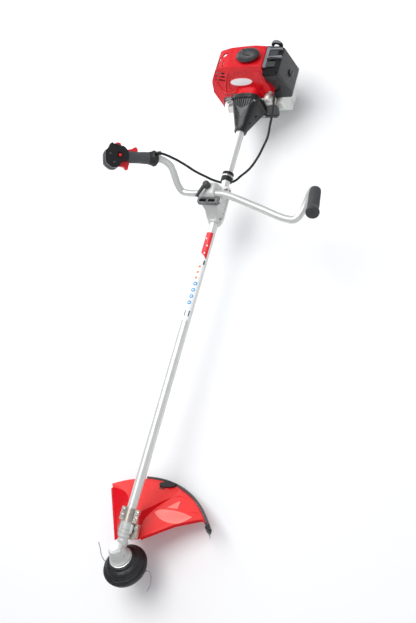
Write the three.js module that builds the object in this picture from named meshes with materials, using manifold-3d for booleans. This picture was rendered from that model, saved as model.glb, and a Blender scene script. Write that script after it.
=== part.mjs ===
// String trimmer: petrol engine at the rear, straight shaft, bull-horn handlebar,
// angled gear case with a bump-feed line head, and a red guard.
// Millimetres, +Z up, +Y along the shaft towards the engine, +X to the user's left hand.
import * as THREE from 'three';
import { mergeVertices } from 'three/addons/utils/BufferGeometryUtils.js';
import Module from 'manifold-3d';

const wasm = await Module();
wasm.setup();

// ---------------------------------------------------------------- driving dimensions
const GAP = 0.3;                    // clearance between separate pieces
const AXIS_HEIGHT = 155;            // shaft axis above the floor the tool lies on
const FRAME_SHIFT = [-77.75, -799.08, AXIS_HEIGHT];  // puts the origin under the middle of the tool
const HEAD_TILT = THREE.MathUtils.degToRad(30);

const TUBE_RADIUS = 14;             // 28 mm shaft tube
const TUBE_WALL = 1.6;
const TUBE_FRONT = 56;
const TUBE_REAR = 1400;
const DRIVE_RADIUS = 4;
const BUSH_Y = 700;                 // bush that steadies the drive shaft half way

const CONE_DISTANCE = 20;           // bevel gears, measured from the common apex
const PINION_TEETH = 12;
const GEAR_TEETH = 16;

const CLAMP_FRONT = 91;             // guard clamp on the tube
const CLAMP_REAR = 128;

const HEAD_RADIUS = 65;             // line head rim
const GUARD_RADIUS = 258;
const SKIRT_OUTER = 266;
const SKIRT_DROP = 25;

const BAR_RADIUS = 11;              // 22 mm handlebar tube
const BAR_Y = 1099;
const BAR_Z = 78;
const TOWER_TOP = 60;
const CAP_TOP = 96;
const CLAMP_X = 0;                  // the stud of the bar clamp stands behind the bar
const CLAMP_Y = 1116;
const BOLT_X = 19.5;
const BOLT_Y = 1146;

const CONE_FRONT = 1371;            // clutch housing, small end
const FLANGE_FACE = 1490;           // clutch housing, engine end
const COVER_FRONT = 1502;
const COVER_REAR = 1624;
const RECOIL_REAR = 1686;
const TANK_BASE = -AXIS_HEIGHT;

// ---------------------------------------------------------------- materials
function paint(name, color, roughness, metalness = 0) {
  return { name, color, roughness, metalness };
}
const RED = paint('red plastic', 0xc4161c, 0.3);
const BLACK = paint('black plastic', 0x1b1b1d, 0.5);
const GREY = paint('dark grey plastic', 0x4a4b4e, 0.55);
const RUBBER = paint('grey rubber', 0x55565a, 0.8);
const SOFT_BLACK = paint('black rubber', 0x161617, 0.8);
const SILVER = paint('silver tube', 0xd8dad6, 0.35, 0.4);
const CASTING = paint('cast aluminium', 0xb9bab6, 0.5, 0.7);
const STEEL = paint('bright steel', 0xa9a8a4, 0.35, 0.9);
const DARK_STEEL = paint('dark steel', 0x5b5a58, 0.45, 0.8);
const TANK_WHITE = paint('translucent tank', 0xdfe2dc, 0.35);
const NYLON = paint('nylon line', 0x8f8c90, 0.5);

// ---------------------------------------------------------------- solids
function toSolid(geometry) {
  const bare = geometry.clone();
  bare.deleteAttribute('normal');
  bare.deleteAttribute('uv');
  const welded = mergeVertices(bare, 1e-3);
  const index = welded.index.array;
  const corners = [];
  for (let i = 0; i < index.length; i += 3) {
    const [a, b, c] = [index[i], index[i + 1], index[i + 2]];
    if (a !== b && b !== c && c !== a) corners.push(a, b, c);
  }
  const mesh = new wasm.Mesh({
    numProp: 3,
    vertProperties: new Float32Array(welded.attributes.position.array),
    triVerts: new Uint32Array(corners),
  });
  return new wasm.Manifold(mesh);
}

function toGeometry(solid) {
  const { vertProperties, triVerts } = solid.getMesh();
  const geometry = new THREE.BufferGeometry();
  geometry.setAttribute('position', new THREE.BufferAttribute(vertProperties, 3));
  geometry.setIndex(new THREE.BufferAttribute(triVerts, 1));
  const flat = geometry.toNonIndexed();
  flat.computeVertexNormals();
  return flat;
}

const join = (first, ...rest) => rest.reduce((sum, next) => sum.add(next), first);
const cut = (first, ...rest) => rest.reduce((sum, next) => sum.subtract(next), first);

// A solid of revolution. The profile lists [radius, height] from the bottom up on the
// outside; the default axis is Z, and `axis: 'y'` lays it along the shaft.
function turned(profile, { sides = 24, axis = 'z' } = {}) {
  const points = profile.map(([r, h]) => new THREE.Vector2(r, h));
  const hollow = profile[0][0] > 0;
  if (hollow) points.push(points[0].clone());
  const geometry = new THREE.LatheGeometry(points, sides);
  if (axis === 'z') geometry.rotateX(Math.PI / 2);
  return toSolid(geometry);
}

// A straight round bar between two points.
function rod(from, to, radius, { sides = 20, endRadius = radius } = {}) {
  const start = new THREE.Vector3(...from);
  const end = new THREE.Vector3(...to);
  const geometry = new THREE.CylinderGeometry(endRadius, radius, start.distanceTo(end), sides);
  const direction = end.clone().sub(start).normalize();
  geometry.applyQuaternion(new THREE.Quaternion().setFromUnitVectors(new THREE.Vector3(0, 1, 0), direction));
  const middle = start.add(end).multiplyScalar(0.5);
  geometry.translate(middle.x, middle.y, middle.z);
  return toSolid(geometry);
}

// A box from its least corner to its greatest corner.
function block([x0, y0, z0], [x1, y1, z1]) {
  const geometry = new THREE.BoxGeometry(x1 - x0, y1 - y0, z1 - z0);
  geometry.translate((x0 + x1) / 2, (y0 + y1) / 2, (z0 + z1) / 2);
  return toSolid(geometry);
}

// An outline extruded up Z from `bottom`, with rounded edges of size `bevel`.
function plate(outline, bottom, height, bevel = 0) {
  const shape = new THREE.Shape(outline.map(([x, y]) => new THREE.Vector2(x, y)));
  const geometry = new THREE.ExtrudeGeometry(shape, {
    depth: height - 2 * bevel,
    bevelEnabled: bevel > 0,
    bevelSize: bevel,
    bevelThickness: bevel,
    bevelOffset: -bevel,
    bevelSegments: 2,
  });
  geometry.translate(0, 0, bottom + bevel);
  return toSolid(geometry);
}

// An outline in X and Z extruded along Y, from `front` to `rear`.
function slab(outline, front, rear, bevel = 0) {
  const flipped = outline.map(([x, z]) => [x, -z]);
  return plate(flipped, front, rear - front, bevel).rotate([-90, 0, 0]);
}

function circle(radius, sides) {
  const shape = new THREE.Shape();
  for (let i = 0; i < sides; i += 1) {
    const angle = (i * 2 * Math.PI) / sides;
    const point = [radius * Math.cos(angle), radius * Math.sin(angle)];
    if (i === 0) shape.moveTo(...point);
    else shape.lineTo(...point);
  }
  return shape;
}

// A round bar along a smooth curve through the points.
function sweep(points, radius, { sides = 12, steps = 40 } = {}) {
  const path = new THREE.CatmullRomCurve3(points.map((p) => new THREE.Vector3(...p)), false, 'centripetal');
  const geometry = new THREE.ExtrudeGeometry(circle(radius, sides), { steps, extrudePath: path });
  return toSolid(geometry);
}

// Points on an arc in the XY plane, angles measured from +Y towards +X.
function arc(radius, fromDegrees, toDegrees, count) {
  const points = [];
  for (let i = 0; i <= count; i += 1) {
    const angle = THREE.MathUtils.degToRad(fromDegrees + ((toDegrees - fromDegrees) * i) / count);
    points.push([radius * Math.sin(angle), radius * Math.cos(angle)]);
  }
  return points;
}

// ---------------------------------------------------------------- scene
const tool = new THREE.Group();
tool.position.set(...FRAME_SHIFT);

const headFrame = new THREE.Group();
headFrame.rotation.x = -HEAD_TILT;
tool.add(headFrame);

function addPart(name, solid, material, parent = tool) {
  const mesh = new THREE.Mesh(toGeometry(solid), new THREE.MeshStandardMaterial(material));
  mesh.name = name;
  parent.add(mesh);
}

// ---------------------------------------------------------------- gear case and line head
// In the head frame Z is the head's axis, the gear apex is the origin,
// and the shaft leaves in the direction shaftWay.
const shaftWay = [0, Math.cos(HEAD_TILT), Math.sin(HEAD_TILT)];
const alongShaft = (distance) => shaftWay.map((part) => part * distance);

function gearCase() {
  const body = turned([
    [0, -13], [31, -13], [31, -9], [25, -6], [25, 10], [23, 22], [20, 25], [20, 31],
    [15, 32], [14, 34], [14, 40], [12, 41.5], [0, 41.5],
  ]);
  const neck = rod([0, 0, 0], alongShaft(60), 13.5);
  const socket = rod(alongShaft(48), alongShaft(88), 18);
  const chamber = turned([[0, -14], [17, -14], [17, 27], [0, 27]]);
  const pinionChamber = rod([0, 0, 0], alongShaft(36), 11.4);
  const shaftBore = rod([0, 0, 0], alongShaft(80), 6, { sides: 12 });
  const tubeBore = rod(alongShaft(TUBE_FRONT - GAP), alongShaft(99), TUBE_RADIUS + GAP, { sides: 24 });
  const lug = (x) => rod([x, ...alongShaft(60).slice(1)], [x, ...alongShaft(85).slice(1)], 6, { sides: 10 });
  return cut(join(body, neck, socket, lug(-18), lug(18)), chamber, pinionChamber, shaftBore, tubeBore);
}

// A bevel gear on the Z axis with its apex at the origin, small end down.
function bevelGear(teeth, halfAngle, bore) {
  const small = CONE_DISTANCE * 0.55;
  const slope = Math.tan(THREE.MathUtils.degToRad(halfAngle));
  const low = small * Math.cos(THREE.MathUtils.degToRad(halfAngle));
  const high = CONE_DISTANCE * Math.cos(THREE.MathUtils.degToRad(halfAngle));
  const profile = bore > 0
    ? [[bore, low], [low * slope, low], [high * slope, high], [bore, high]]
    : [[0, low], [low * slope, low], [high * slope, high], [0, high]];
  let gear = turned(profile, { sides: teeth });
  for (let i = 0; i < teeth; i += 1) {
    const groove = block([high * slope - 1.4, -0.7, low + 2], [high * slope + 3, 0.7, high + 1]);
    gear = gear.subtract(groove.rotate([0, 0, ((i + 0.5) * 360) / teeth]));
  }
  return gear;
}

function guardPlate() {
  const rim = arc(GUARD_RADIUS, -33, 49.5, 18);
  const outline = [...rim, [181, 166], [36, 56], [24, 49], [-30, 42], [-52, 48], [-152, 186]];
  const top = plate(outline.reverse(), -3, 3);
  const skirtOutline = [...arc(GUARD_RADIUS, -33, 49.5, 18), ...arc(GUARD_RADIUS - 3, -33, 49.5, 18).reverse()];
  const skirt = plate(skirtOutline.reverse(), -22, 21);
  const wall = (from, to) => {
    const direction = new THREE.Vector2(to[0] - from[0], to[1] - from[1]).normalize().multiplyScalar(1.5);
    const side = [-direction.y, direction.x];
    return plate([
      [from[0] + side[0], from[1] + side[1]], [from[0] - side[0], from[1] - side[1]],
      [to[0] - side[0], to[1] - side[1]], [to[0] + side[0], to[1] + side[1]],
    ], -22, 21);
  };
  const sideWalls = join(wall([-148, 184], [-53, 50]), wall([-138.5, 214], [-148, 184]));
  const ridge = plate([[-46, 60], [28, 62], [6, 140], [48, 214], [-62, 214], [-48, 130]], -2, 14, 3);
  const hollow = plate([[-42, 63], [24, 65], [2, 140], [42, 210], [-58, 210], [-44, 130]], -12, 21);
  const solid = cut(join(top, ridge), hollow);
  return join(solid, skirt, sideWalls);
}

function buildHead() {
  addPart('gear_case', gearCase(), CASTING, headFrame);
  addPart('bevel_gear', bevelGear(GEAR_TEETH, 33.9, 5 + GAP), DARK_STEEL, headFrame);
  addPart('output_shaft', turned([[0, -58], [5, -58], [5, 24], [0, 24]], { sides: 16 }), STEEL, headFrame);
  const ring = [[5 + GAP, -11.5], [17 - GAP, -11.5], [17 - GAP, -3.5], [5 + GAP, -3.5]];
  addPart('output_bearing', turned(ring), STEEL, headFrame);
  const flange = [[5 + GAP, -20], [30, -20], [33, -17.5], [33, -15.5], [22, -14], [5 + GAP, -14]];
  addPart('head_flange', turned(flange, { sides: 28 }), CASTING, headFrame);

  const housing = turned([
    [5 + GAP, -24], [33, -24.5], [45, -36], [49, -41], [59, -49], [61.5, -55], [61.5, -60],
    [HEAD_RADIUS, -60], [HEAD_RADIUS, -54], [62, -49.5], [56, -45], [51, -41.5], [51, -36],
    [45, -31.5], [38, -29], [36, -21], [5 + GAP, -20.3],
  ], { sides: 28 });
  addPart('head_housing', housing, BLACK, headFrame);

  const base = turned([
    [22, -76], [50, -75], [61, -70], [HEAD_RADIUS - 2, -64], [HEAD_RADIUS - 2, -60 - GAP],
    [58, -60 - GAP], [57, -66], [48, -71], [22, -72],
  ], { sides: 28 });
  const outlet = rod([-70, 0, -63.5], [70, 0, -63.5], 2.4, { sides: 8 });
  addPart('head_base', cut(base, outlet), BLACK, headFrame);

  const spool = turned([
    [8, -70], [46, -70], [46, -68], [20, -67], [20, -44], [40, -43], [40, -41], [8, -41],
  ]);
  addPart('line_spool', spool, GREY, headFrame);
  const knob = turned([[0, -88], [12, -88], [20, -85], [21.5, -81], [21.5, -77], [20, -76], [0, -76]]);
  addPart('bump_knob', knob, BLACK, headFrame);
  addPart('head_spring', headSpring(), STEEL, headFrame);

  const LINE_Z = -63.5;
  const leftEnd = [[-66, -8, LINE_Z], [-78, -4, -62], [-94, 7, -61], [-107, 21, -60], [-126, 39, -60]];
  const rightEnd = [[66, 8, LINE_Z], [76, 8, -62], [87, 0, -61], [97, -14, -60], [103, -30, -60], [103, -46, -60]];
  addPart('trimmer_line_left', sweep(leftEnd, 1.2, { sides: 8, steps: 14 }), NYLON, headFrame);
  addPart('trimmer_line_right', sweep(rightEnd, 1.2, { sides: 8, steps: 14 }), NYLON, headFrame);
}

// The spring that pushes the bump knob out, coiled round the output shaft.
function headSpring() {
  const turns = 6;
  const bottom = -74.6;
  const top = -26;
  const points = [];
  for (let i = 0; i <= turns * 8; i += 1) {
    const angle = (i * Math.PI) / 4;
    const height = bottom + ((top - bottom) * i) / (turns * 8);
    points.push([6.6 * Math.cos(angle), 6.6 * Math.sin(angle), height]);
  }
  return sweep(points, 0.9, { sides: 5, steps: turns * 8 });
}

function buildGuard() {
  addPart('guard', guardPlate(), RED, headFrame);
  const skirt = [
    ...arc(SKIRT_OUTER, -13, 52, 14),
    ...arc(GUARD_RADIUS + 2 * GAP, -13, 52, 14).reverse(),
  ];
  const clip = [...arc(SKIRT_OUTER - 1, 1, 9, 2), ...arc(GUARD_RADIUS - 34, 2, 8, 2).reverse()];
  const strip = join(
    plate(skirt.reverse(), -SKIRT_DROP, SKIRT_DROP + 1),
    plate(clip.reverse(), GAP, 4),
  );
  addPart('guard_skirt', strip, GREY, headFrame);
  const blade = plate([[-5, 0], [5, -3], [15, -20], [4, -10]], -20, 1.5);
  const [x, y] = arc(GUARD_RADIUS + 3, 53, 53, 1)[0];
  addPart('line_cutter', blade.translate([x, y, 0]), STEEL, headFrame);
}

// ---------------------------------------------------------------- shaft and drive line
function buildShaft() {
  const inner = TUBE_RADIUS - TUBE_WALL;
  const tube = turned([
    [inner, TUBE_FRONT], [TUBE_RADIUS, TUBE_FRONT], [TUBE_RADIUS, TUBE_REAR], [inner, TUBE_REAR],
  ], { sides: 24, axis: 'y' });
  addPart('shaft_tube', tube, SILVER);

  const pinionBack = CONE_DISTANCE * Math.cos(THREE.MathUtils.degToRad(24.5));
  addPart('drive_shaft', rod([0, pinionBack + GAP, 0], [0, 1464, 0], DRIVE_RADIUS, { sides: 12 }), STEEL);
  addPart('pinion_gear', bevelGear(PINION_TEETH, 24.5, 0).rotate([-90, 0, 0]), DARK_STEEL);
  const bearing = turned([
    [DRIVE_RADIUS + GAP, 22], [11.1, 22], [11.1, 30], [DRIVE_RADIUS + GAP, 30],
  ], { axis: 'y' });
  addPart('pinion_bearing', bearing, STEEL);
  const bush = turned([
    [DRIVE_RADIUS + GAP, BUSH_Y], [inner - GAP, BUSH_Y],
    [inner - GAP, BUSH_Y + 40], [DRIVE_RADIUS + GAP, BUSH_Y + 40],
  ], { sides: 16, axis: 'y' });
  addPart('shaft_bush', bush, SOFT_BLACK);
}

// Two steel saddles grip the shaft tube and carry the guard.
function buildGuardClamp() {
  const bore = rod([0, 80, 0], [0, 140, 0], TUBE_RADIUS + GAP, { sides: 24 });
  const sleeve = rod([0, CLAMP_FRONT, 0], [0, CLAMP_REAR, 0], 17.5, { sides: 20 });
  const bolt = (x) => rod([x, 109, 6], [x, 109, 12], 5, { sides: 6 });
  const upper = join(block([-29, CLAMP_FRONT, GAP], [29, CLAMP_REAR, 7]), sleeve, bolt(-22), bolt(22));
  const below = block([-60, 60, -60], [60, 140, GAP]);
  addPart('guard_clamp_upper', cut(upper, bore, below), STEEL);

  const lower = join(block([-29, CLAMP_FRONT, -7], [29, CLAMP_REAR, -GAP]), sleeve);
  const above = block([-60, 60, -GAP], [60, 140, 60]);
  addPart('guard_clamp_lower', cut(lower, bore, above), STEEL);
}

// The handlebar bracket: two castings clamped round the tube, the upper one a tower.
function buildBracket() {
  const bore = rod([0, 1000, 0], [0, 1300, 0], TUBE_RADIUS + GAP, { sides: 24 });
  const sleeve = rod([0, 1024, 0], [0, 1160, 0], 19, { sides: 20 });
  const boltHoles = join(
    rod([BOLT_X, BOLT_Y, -20], [BOLT_X, BOLT_Y, 30], 2.5 + GAP, { sides: 8 }),
    rod([-BOLT_X, BOLT_Y, -20], [-BOLT_X, BOLT_Y, 30], 2.5 + GAP, { sides: 8 }),
  );
  const base = join(sleeve, block([-26, 1036, -12], [26, 1156, -GAP]));
  const above = block([-80, 1000, -GAP], [80, 1200, 60]);
  addPart('bracket_base', cut(base, bore, boltHoles, above), CASTING);

  const foot = join(sleeve, block([-26, 1036, GAP], [26, 1156, 12]));
  const side = [
    [1034, 8], [1136, 8], [1132, 40], [1128, TOWER_TOP], [1072, TOWER_TOP], [1062, 44], [1040, 18],
  ];
  const outline = new THREE.Shape(side.map(([y, z]) => new THREE.Vector2(y, z)));
  const geometry = new THREE.ExtrudeGeometry(outline, { depth: 48, bevelEnabled: false });
  geometry.applyMatrix4(new THREE.Matrix4().makeBasis(
    new THREE.Vector3(0, 1, 0), new THREE.Vector3(0, 0, 1), new THREE.Vector3(1, 0, 0),
  ));
  geometry.translate(-24, 0, 0);
  const below = block([-80, 1000, -60], [80, 1200, GAP]);
  const tower = cut(join(foot, toSolid(geometry)), bore, boltHoles, studHole(), below);
  addPart('bracket_tower', tower, CASTING);

  const bolts = { bracket_bolt_left: BOLT_X, bracket_bolt_right: -BOLT_X };
  for (const [name, x] of Object.entries(bolts)) {
    const bolt = join(
      rod([x, BOLT_Y, 12 + GAP], [x, BOLT_Y, 17], 4.5, { sides: 6 }),
      rod([x, BOLT_Y, -11], [x, BOLT_Y, 13], 2.5, { sides: 8 }),
    );
    addPart(name, bolt, DARK_STEEL);
  }
}

// The hole for the stud of the clamp lever.
function studHole() {
  return rod([CLAMP_X, CLAMP_Y, 40], [CLAMP_X, CLAMP_Y, 140], 3 + GAP, { sides: 10 });
}

// ---------------------------------------------------------------- handlebar
// Bar centreline from the throttle handle to the left-hand grip.
const HANDLE_START = [-152, 1161, 182];
const HANDLE_WAY = new THREE.Vector3(-0.63, -0.358, 0.689).normalize();
const HANDLE_FACE = new THREE.Vector3(0.767, -0.148, 0.624);
const GRIP_FAR = [381, 1082, 146];
const GRIP_NEAR = [415, 979, 204];

function alongHandle(distance) {
  return HANDLE_START.map((part, i) => part + HANDLE_WAY.getComponent(i) * distance);
}

function buildHandlebar() {
  const gripWay = GRIP_NEAR.map((part, i) => part - GRIP_FAR[i]);
  const alongGrip = (share) => GRIP_FAR.map((part, i) => part + gripWay[i] * share);
  const left = [alongHandle(56), alongHandle(24), alongHandle(-5), [-136, 1163, 163], [-121, 1155, 149]];
  const bend = [[-115, 1142, 132], [-105, 1113, 103], [-94, 1101, 85], [-72, BAR_Y, BAR_Z + 1]];
  const middle = [[-36, BAR_Y, BAR_Z], [0, BAR_Y, BAR_Z], [36, BAR_Y, BAR_Z], [66, 1095, BAR_Z]];
  const right = [[183, 1056, BAR_Z], [284, 1022, BAR_Z], [312, 1021, 80], [327, 1039, 83], [337, 1063, 90]];
  const turn = [[348, 1087, 104], [358, 1093, 118], [370, 1088, 132]];
  const inGrip = [0.1, 0.24, 0.5, 0.93].map(alongGrip);
  const bar = sweep([...left, ...bend, ...middle, ...right, ...turn, ...inGrip], BAR_RADIUS, { steps: 60 });
  addPart('handlebar', bar, SILVER);

  const bore = join(
    rod(alongGrip(-0.1), alongGrip(0.36), BAR_RADIUS + 3, { sides: 12 }),
    rod(alongGrip(0.3), alongGrip(0.94), BAR_RADIUS + 0.8, { sides: 12 }),
  );
  const grip = join(
    rod(alongGrip(0.06), alongGrip(0.94), 16, { sides: 16 }),
    rod(alongGrip(0.84), alongGrip(0.94), 18.5, { sides: 16 }),
  );
  addPart('left_grip', cut(grip, bore), RUBBER);
  addPart('left_grip_cap', rod(alongGrip(0.945), alongGrip(1), 19, { endRadius: 16 }), GREY);
}

// The seat and cap that hold the bar on the tower, and the lever that locks them.
function buildBarClamp() {
  const bore = rod([-60, BAR_Y, BAR_Z], [60, BAR_Y, BAR_Z], BAR_RADIUS + 0.8, { sides: 20 });
  const seat = block([-34, 1070, TOWER_TOP + GAP], [34, 1130, BAR_Z - GAP]);
  const window = (x) => block([x - 10, 1073, TOWER_TOP + 8], [x + 10, 1084, BAR_Z + 5]);
  addPart('bar_clamp_seat', cut(seat, bore, studHole(), window(-16), window(16)), DARK_STEEL);
  const capOutline = [
    [-30, BAR_Z + GAP], [30, BAR_Z + GAP], [30, BAR_Z + 8], [20, CAP_TOP], [-20, CAP_TOP], [-30, BAR_Z + 8],
  ];
  const cap = slab(capOutline, 1086, 1132, 1.5);
  addPart('bar_clamp_cap', cut(cap, bore, studHole()), CASTING);
  const armEnd = [CLAMP_X - 20, CLAMP_Y - 44, CAP_TOP + 15];
  const lever = join(
    rod([CLAMP_X, CLAMP_Y, CAP_TOP + GAP], [CLAMP_X, CLAMP_Y, CAP_TOP + 20], 11, { sides: 16, endRadius: 10 }),
    rod([CLAMP_X, CLAMP_Y, CAP_TOP + 12], armEnd, 5.5, { sides: 10, endRadius: 4 }),
    rod([CLAMP_X, CLAMP_Y, 42], [CLAMP_X, CLAMP_Y, CAP_TOP + 2], 3, { sides: 10 }),
  );
  addPart('clamp_lever', lever, BLACK);
}

// In the handle frame X runs from the collar to the front of the casing, Y faces the
// switch side and Z points to the palm side, away from the trigger.
function buildControlHandle() {
  const handle = new THREE.Group();
  const palmWay = new THREE.Vector3().crossVectors(HANDLE_WAY, HANDLE_FACE).normalize();
  const faceWay = new THREE.Vector3().crossVectors(palmWay, HANDLE_WAY);
  handle.setRotationFromMatrix(new THREE.Matrix4().makeBasis(HANDLE_WAY, faceWay, palmWay));
  handle.position.set(...HANDLE_START);
  tool.add(handle);

  const along = (solid) => solid.rotate([0, 90, 0]);
  const bore = along(turned([[0, -20], [BAR_RADIUS + 1.5, -20], [BAR_RADIUS + 1.5, 60], [0, 60]]));
  const cableBore = rod([-5, 4, 17], [40, 4, 17], 2, { sides: 8 });
  const collar = along(turned([[0, 0], [15, 0], [22, 5], [25, 13], [23, 20], [19.5, 30], [0, 30]], { sides: 20 }));
  addPart('control_collar', cut(collar, bore, cableBore), SOFT_BLACK, handle);

  const grip = along(turned([[0, 30 + GAP], [18.5, 30 + GAP], [18.5, 112], [0, 112]]));
  const casingSide = [
    [170, 13], [142, 36], [109, 27], [98, 13], [98, -15], [114, -15], [134, -38], [152, -38], [170, -23],
  ];
  const casing = slab(casingSide.slice().reverse(), -22, 22, 4);
  const triggerSlot = block([90, -8, -60], [128, 8, -2]);
  const lockoutSlot = block([62, -7, 4], [107, 7, 60]);
  const buttonSlot = block([113, -8, 22], [138, 8, 60]);
  const switchSlot = block([119, 16, -8], [133, 30, 10]);
  const body = cut(join(grip, casing), bore, triggerSlot, lockoutSlot, buttonSlot, switchSlot);
  addPart('control_handle', body, GREY, handle);

  const triggerSide = [[124, -14], [98, -14], [93, -20], [101, -41], [108, -39], [126, -32]];
  addPart('throttle_trigger', slab(triggerSide.slice().reverse(), -7, 7, 1), RED, handle);
  const lockoutSide = [[105, 14], [66, 14], [66, 26], [70, 31], [76, 29], [105, 21]];
  addPart('lockout_lever', slab(lockoutSide.slice().reverse(), -6, 6, 1), RED, handle);
  const buttonSide = [[115, 25], [136, 25], [135, 41], [119, 41]];
  addPart('throttle_lock_button', slab(buttonSide, -7, 7, 1), RED, handle);
  addPart('stop_switch', block([121, 17, -4], [128, 25, 5]), RED, handle);
}

// ---------------------------------------------------------------- throttle conduit
const CONDUIT_ROUTE = [
  [-150, 1175.7, 189.4], [-141, 1180.5, 179], [-113, 1180, 150], [-89, 1177, 118], [-73, 1177, 80],
  [-57, 1182, 40], [-45, 1188, 6], [-27, 1194, -19], [0, 1198, -26], [24, 1204, -19], [42, 1211, -8],
  [74, 1234, 2], [97, 1272, 10], [108, 1305, 15], [116, 1340, 18], [114, 1384, 20], [111, 1421, 20],
  [107, 1460, 22], [104, 1498, 34],
];

function buildShaftFittings() {
  addPart('throttle_conduit', sweep(CONDUIT_ROUTE, 4, { sides: 8, steps: 48 }), SOFT_BLACK);
  const inner = TUBE_RADIUS + GAP;
  const band = turned([[inner, 1186], [19, 1188], [19, 1199], [17.5, 1200], [inner, 1200]], { axis: 'y' });
  addPart('shaft_band', band, SOFT_BLACK);
  const ring = turned([[inner, 1200.5], [18, 1200.5], [18, 1207], [inner, 1207]], { axis: 'y' });
  addPart('harness_ring', ring, STEEL);
  const rearBand = turned([[inner, 1207.5], [17.5, 1207.5], [19, 1209], [19, 1217], [inner, 1217]], { axis: 'y' });
  const clip = block([-13, 1209, -24], [-5, 1216, -15]);
  addPart('shaft_band_rear', join(rearBand, clip), SOFT_BLACK);
}

// ---------------------------------------------------------------- engine
function buildClutch() {
  const housing = turned([
    [TUBE_RADIUS + GAP, CONE_FRONT], [20.5, CONE_FRONT], [22, CONE_FRONT + 12], [52, 1477], [58, 1481],
    [58, FLANGE_FACE], [43, FLANGE_FACE], [42.5, 1456], [31, 1425], [TUBE_RADIUS + GAP, 1420],
  ], { sides: 24, axis: 'y' });
  addPart('clutch_housing', housing, BLACK);
  const drum = turned([
    [DRIVE_RADIUS + GAP, 1450], [10, 1450], [10, 1457], [40.5, 1457], [40.5, 1478], [37.5, 1478], [37.5, 1460],
    [DRIVE_RADIUS + GAP, 1460],
  ], { axis: 'y' });
  addPart('clutch_drum', drum, STEEL);
  const rotor = cut(
    turned([[7 + GAP, 1468], [36.5, 1468], [36.5, 1480], [7 + GAP, 1480]], { axis: 'y' }),
    block([-60, 1460, -1.2], [-20, 1490, 1.2]),
    block([20, 1460, -1.2], [60, 1490, 1.2]),
  );
  addPart('clutch_rotor', rotor, DARK_STEEL);
}

function buildEngineCore() {
  const shaftBore = rod([0, 1400, 0], [0, 1800, 0], 7 + GAP, { sides: 16 });
  const fins = [52, 64, 76].map((z) => block([-40, 1553, z], [40, 1597, z + 4]));
  const crankcase = join(
    block([-40, 1551, -58], [40, 1599, 46]),
    block([-30, 1557, 40], [30, 1593, 88]),
    ...fins,
    rod([74, 1484, 8], [74, 1520, 8], 14),
    block([50, 1512, -4], [70, 1557, 18]),
    block([30, 1551, -4], [70, 1557, 18]),
    block([26, 1482, -68], [84, 1488, -30]),
    block([70, 1482, -34], [88, 1488, 0]),
  );
  const standHole = rod([51, 1470, -56], [51, 1500, -56], 5, { sides: 12 });
  const clutchRoom = turned([
    [0, 1360], [24, 1368], [55, 1474], [66, 1478], [66, 1492], [0, 1492],
  ], { axis: 'y' });
  addPart('crankcase', cut(crankcase, shaftBore, standHole, clutchRoom), CASTING);
  const crankshaft = join(
    rod([0, 1467, 0], [0, 1662, 0], 7, { sides: 16 }),
    rod([0, 1522, 0], [0, 1545, 0], 46, { sides: 24 }),
  );
  addPart('crankshaft', crankshaft, STEEL);
  addPart('muffler', slab([[-112, -22], [-52, -22], [-52, 48], [-112, 48]], 1548, 1594, 5), DARK_STEEL);
  addPart('carburettor', block([46, 1562, 26], [66, 1594, 56]), CASTING);
  addPart('throttle_cam', join(
    rod([56, 1555, 44], [56, 1561.5, 44], 4, { sides: 10 }),
    block([53, 1556, 44], [59, 1560, 62]),
  ), STEEL);
}

// The red cover: an arched shell open underneath and at the clutch.
function buildCover() {
  const outline = [
    [-124, -52], [-131, -30], [-134, 5], [-127, 62], [-98, 104], [-50, 115], [36, 115], [76, 106],
    [76, -4], [40, -6], [-40, 2], [-60, 16], [-94, 16], [-110, -28],
  ];
  const inside = [
    [-119, -70], [-127, -30], [-130, 5], [-123, 60], [-96, 100], [-50, 111], [36, 111], [72, 102],
    [72, -60], [-80, -100],
  ];
  const shell = slab(outline.slice().reverse(), COVER_FRONT, COVER_REAR, 5);
  const cavity = slab(inside.slice().reverse(), COVER_FRONT + 4, COVER_REAR + 20);
  const slant = (y) => block([-200, -80, -30], [200, 0, 200]).rotate([-22, 0, 0]).translate([0, y, 20]);
  const corner = (inset) => block([-200, -200, -200], [0, 200, 200]).rotate([0, 0, 45])
    .translate([-114 + inset, COVER_FRONT, 0]);
  const clutchHole = rod([0, 1490, 0], [0, 1530, 0], 50, { sides: 28 });
  const belowFront = block([-60, 1490, -120], [120, 1530, 2]);
  const tankRoom = block([-114, 1490, -160], [120, 1530, -38]);
  const intakeRoom = rod([74, 1490, 8], [74, 1560, 8], 16);
  const louvres = [-4, 14, 32].map((z) => block([-160, 1545, z], [-122, 1590, z + 7]));
  const frontSlots = [22, 38, 54].map((z) => block([-122, 1490, z], [-98, 1540, z + 6]));
  const hollow = cut(cavity, slant(COVER_FRONT + 8), corner(5.6));
  const cover = cut(
    shell, hollow, slant(COVER_FRONT + 4), corner(0), clutchHole, belowFront, tankRoom, intakeRoom,
    ...louvres, ...frontSlots,
  );
  addPart('engine_cover', cover, RED);

  const profile = [[0, -9], [24, -7], [38, -2], [40, 0], [36, 5], [22, 10], [0, 12]];
  const cap = turned(profile, { sides: 24 }).scale([1, 0.62, 1]).translate([22, 1581, 115 + GAP + 9]);
  addPart('spark_plug_cap', cap, BLACK);
}

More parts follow.
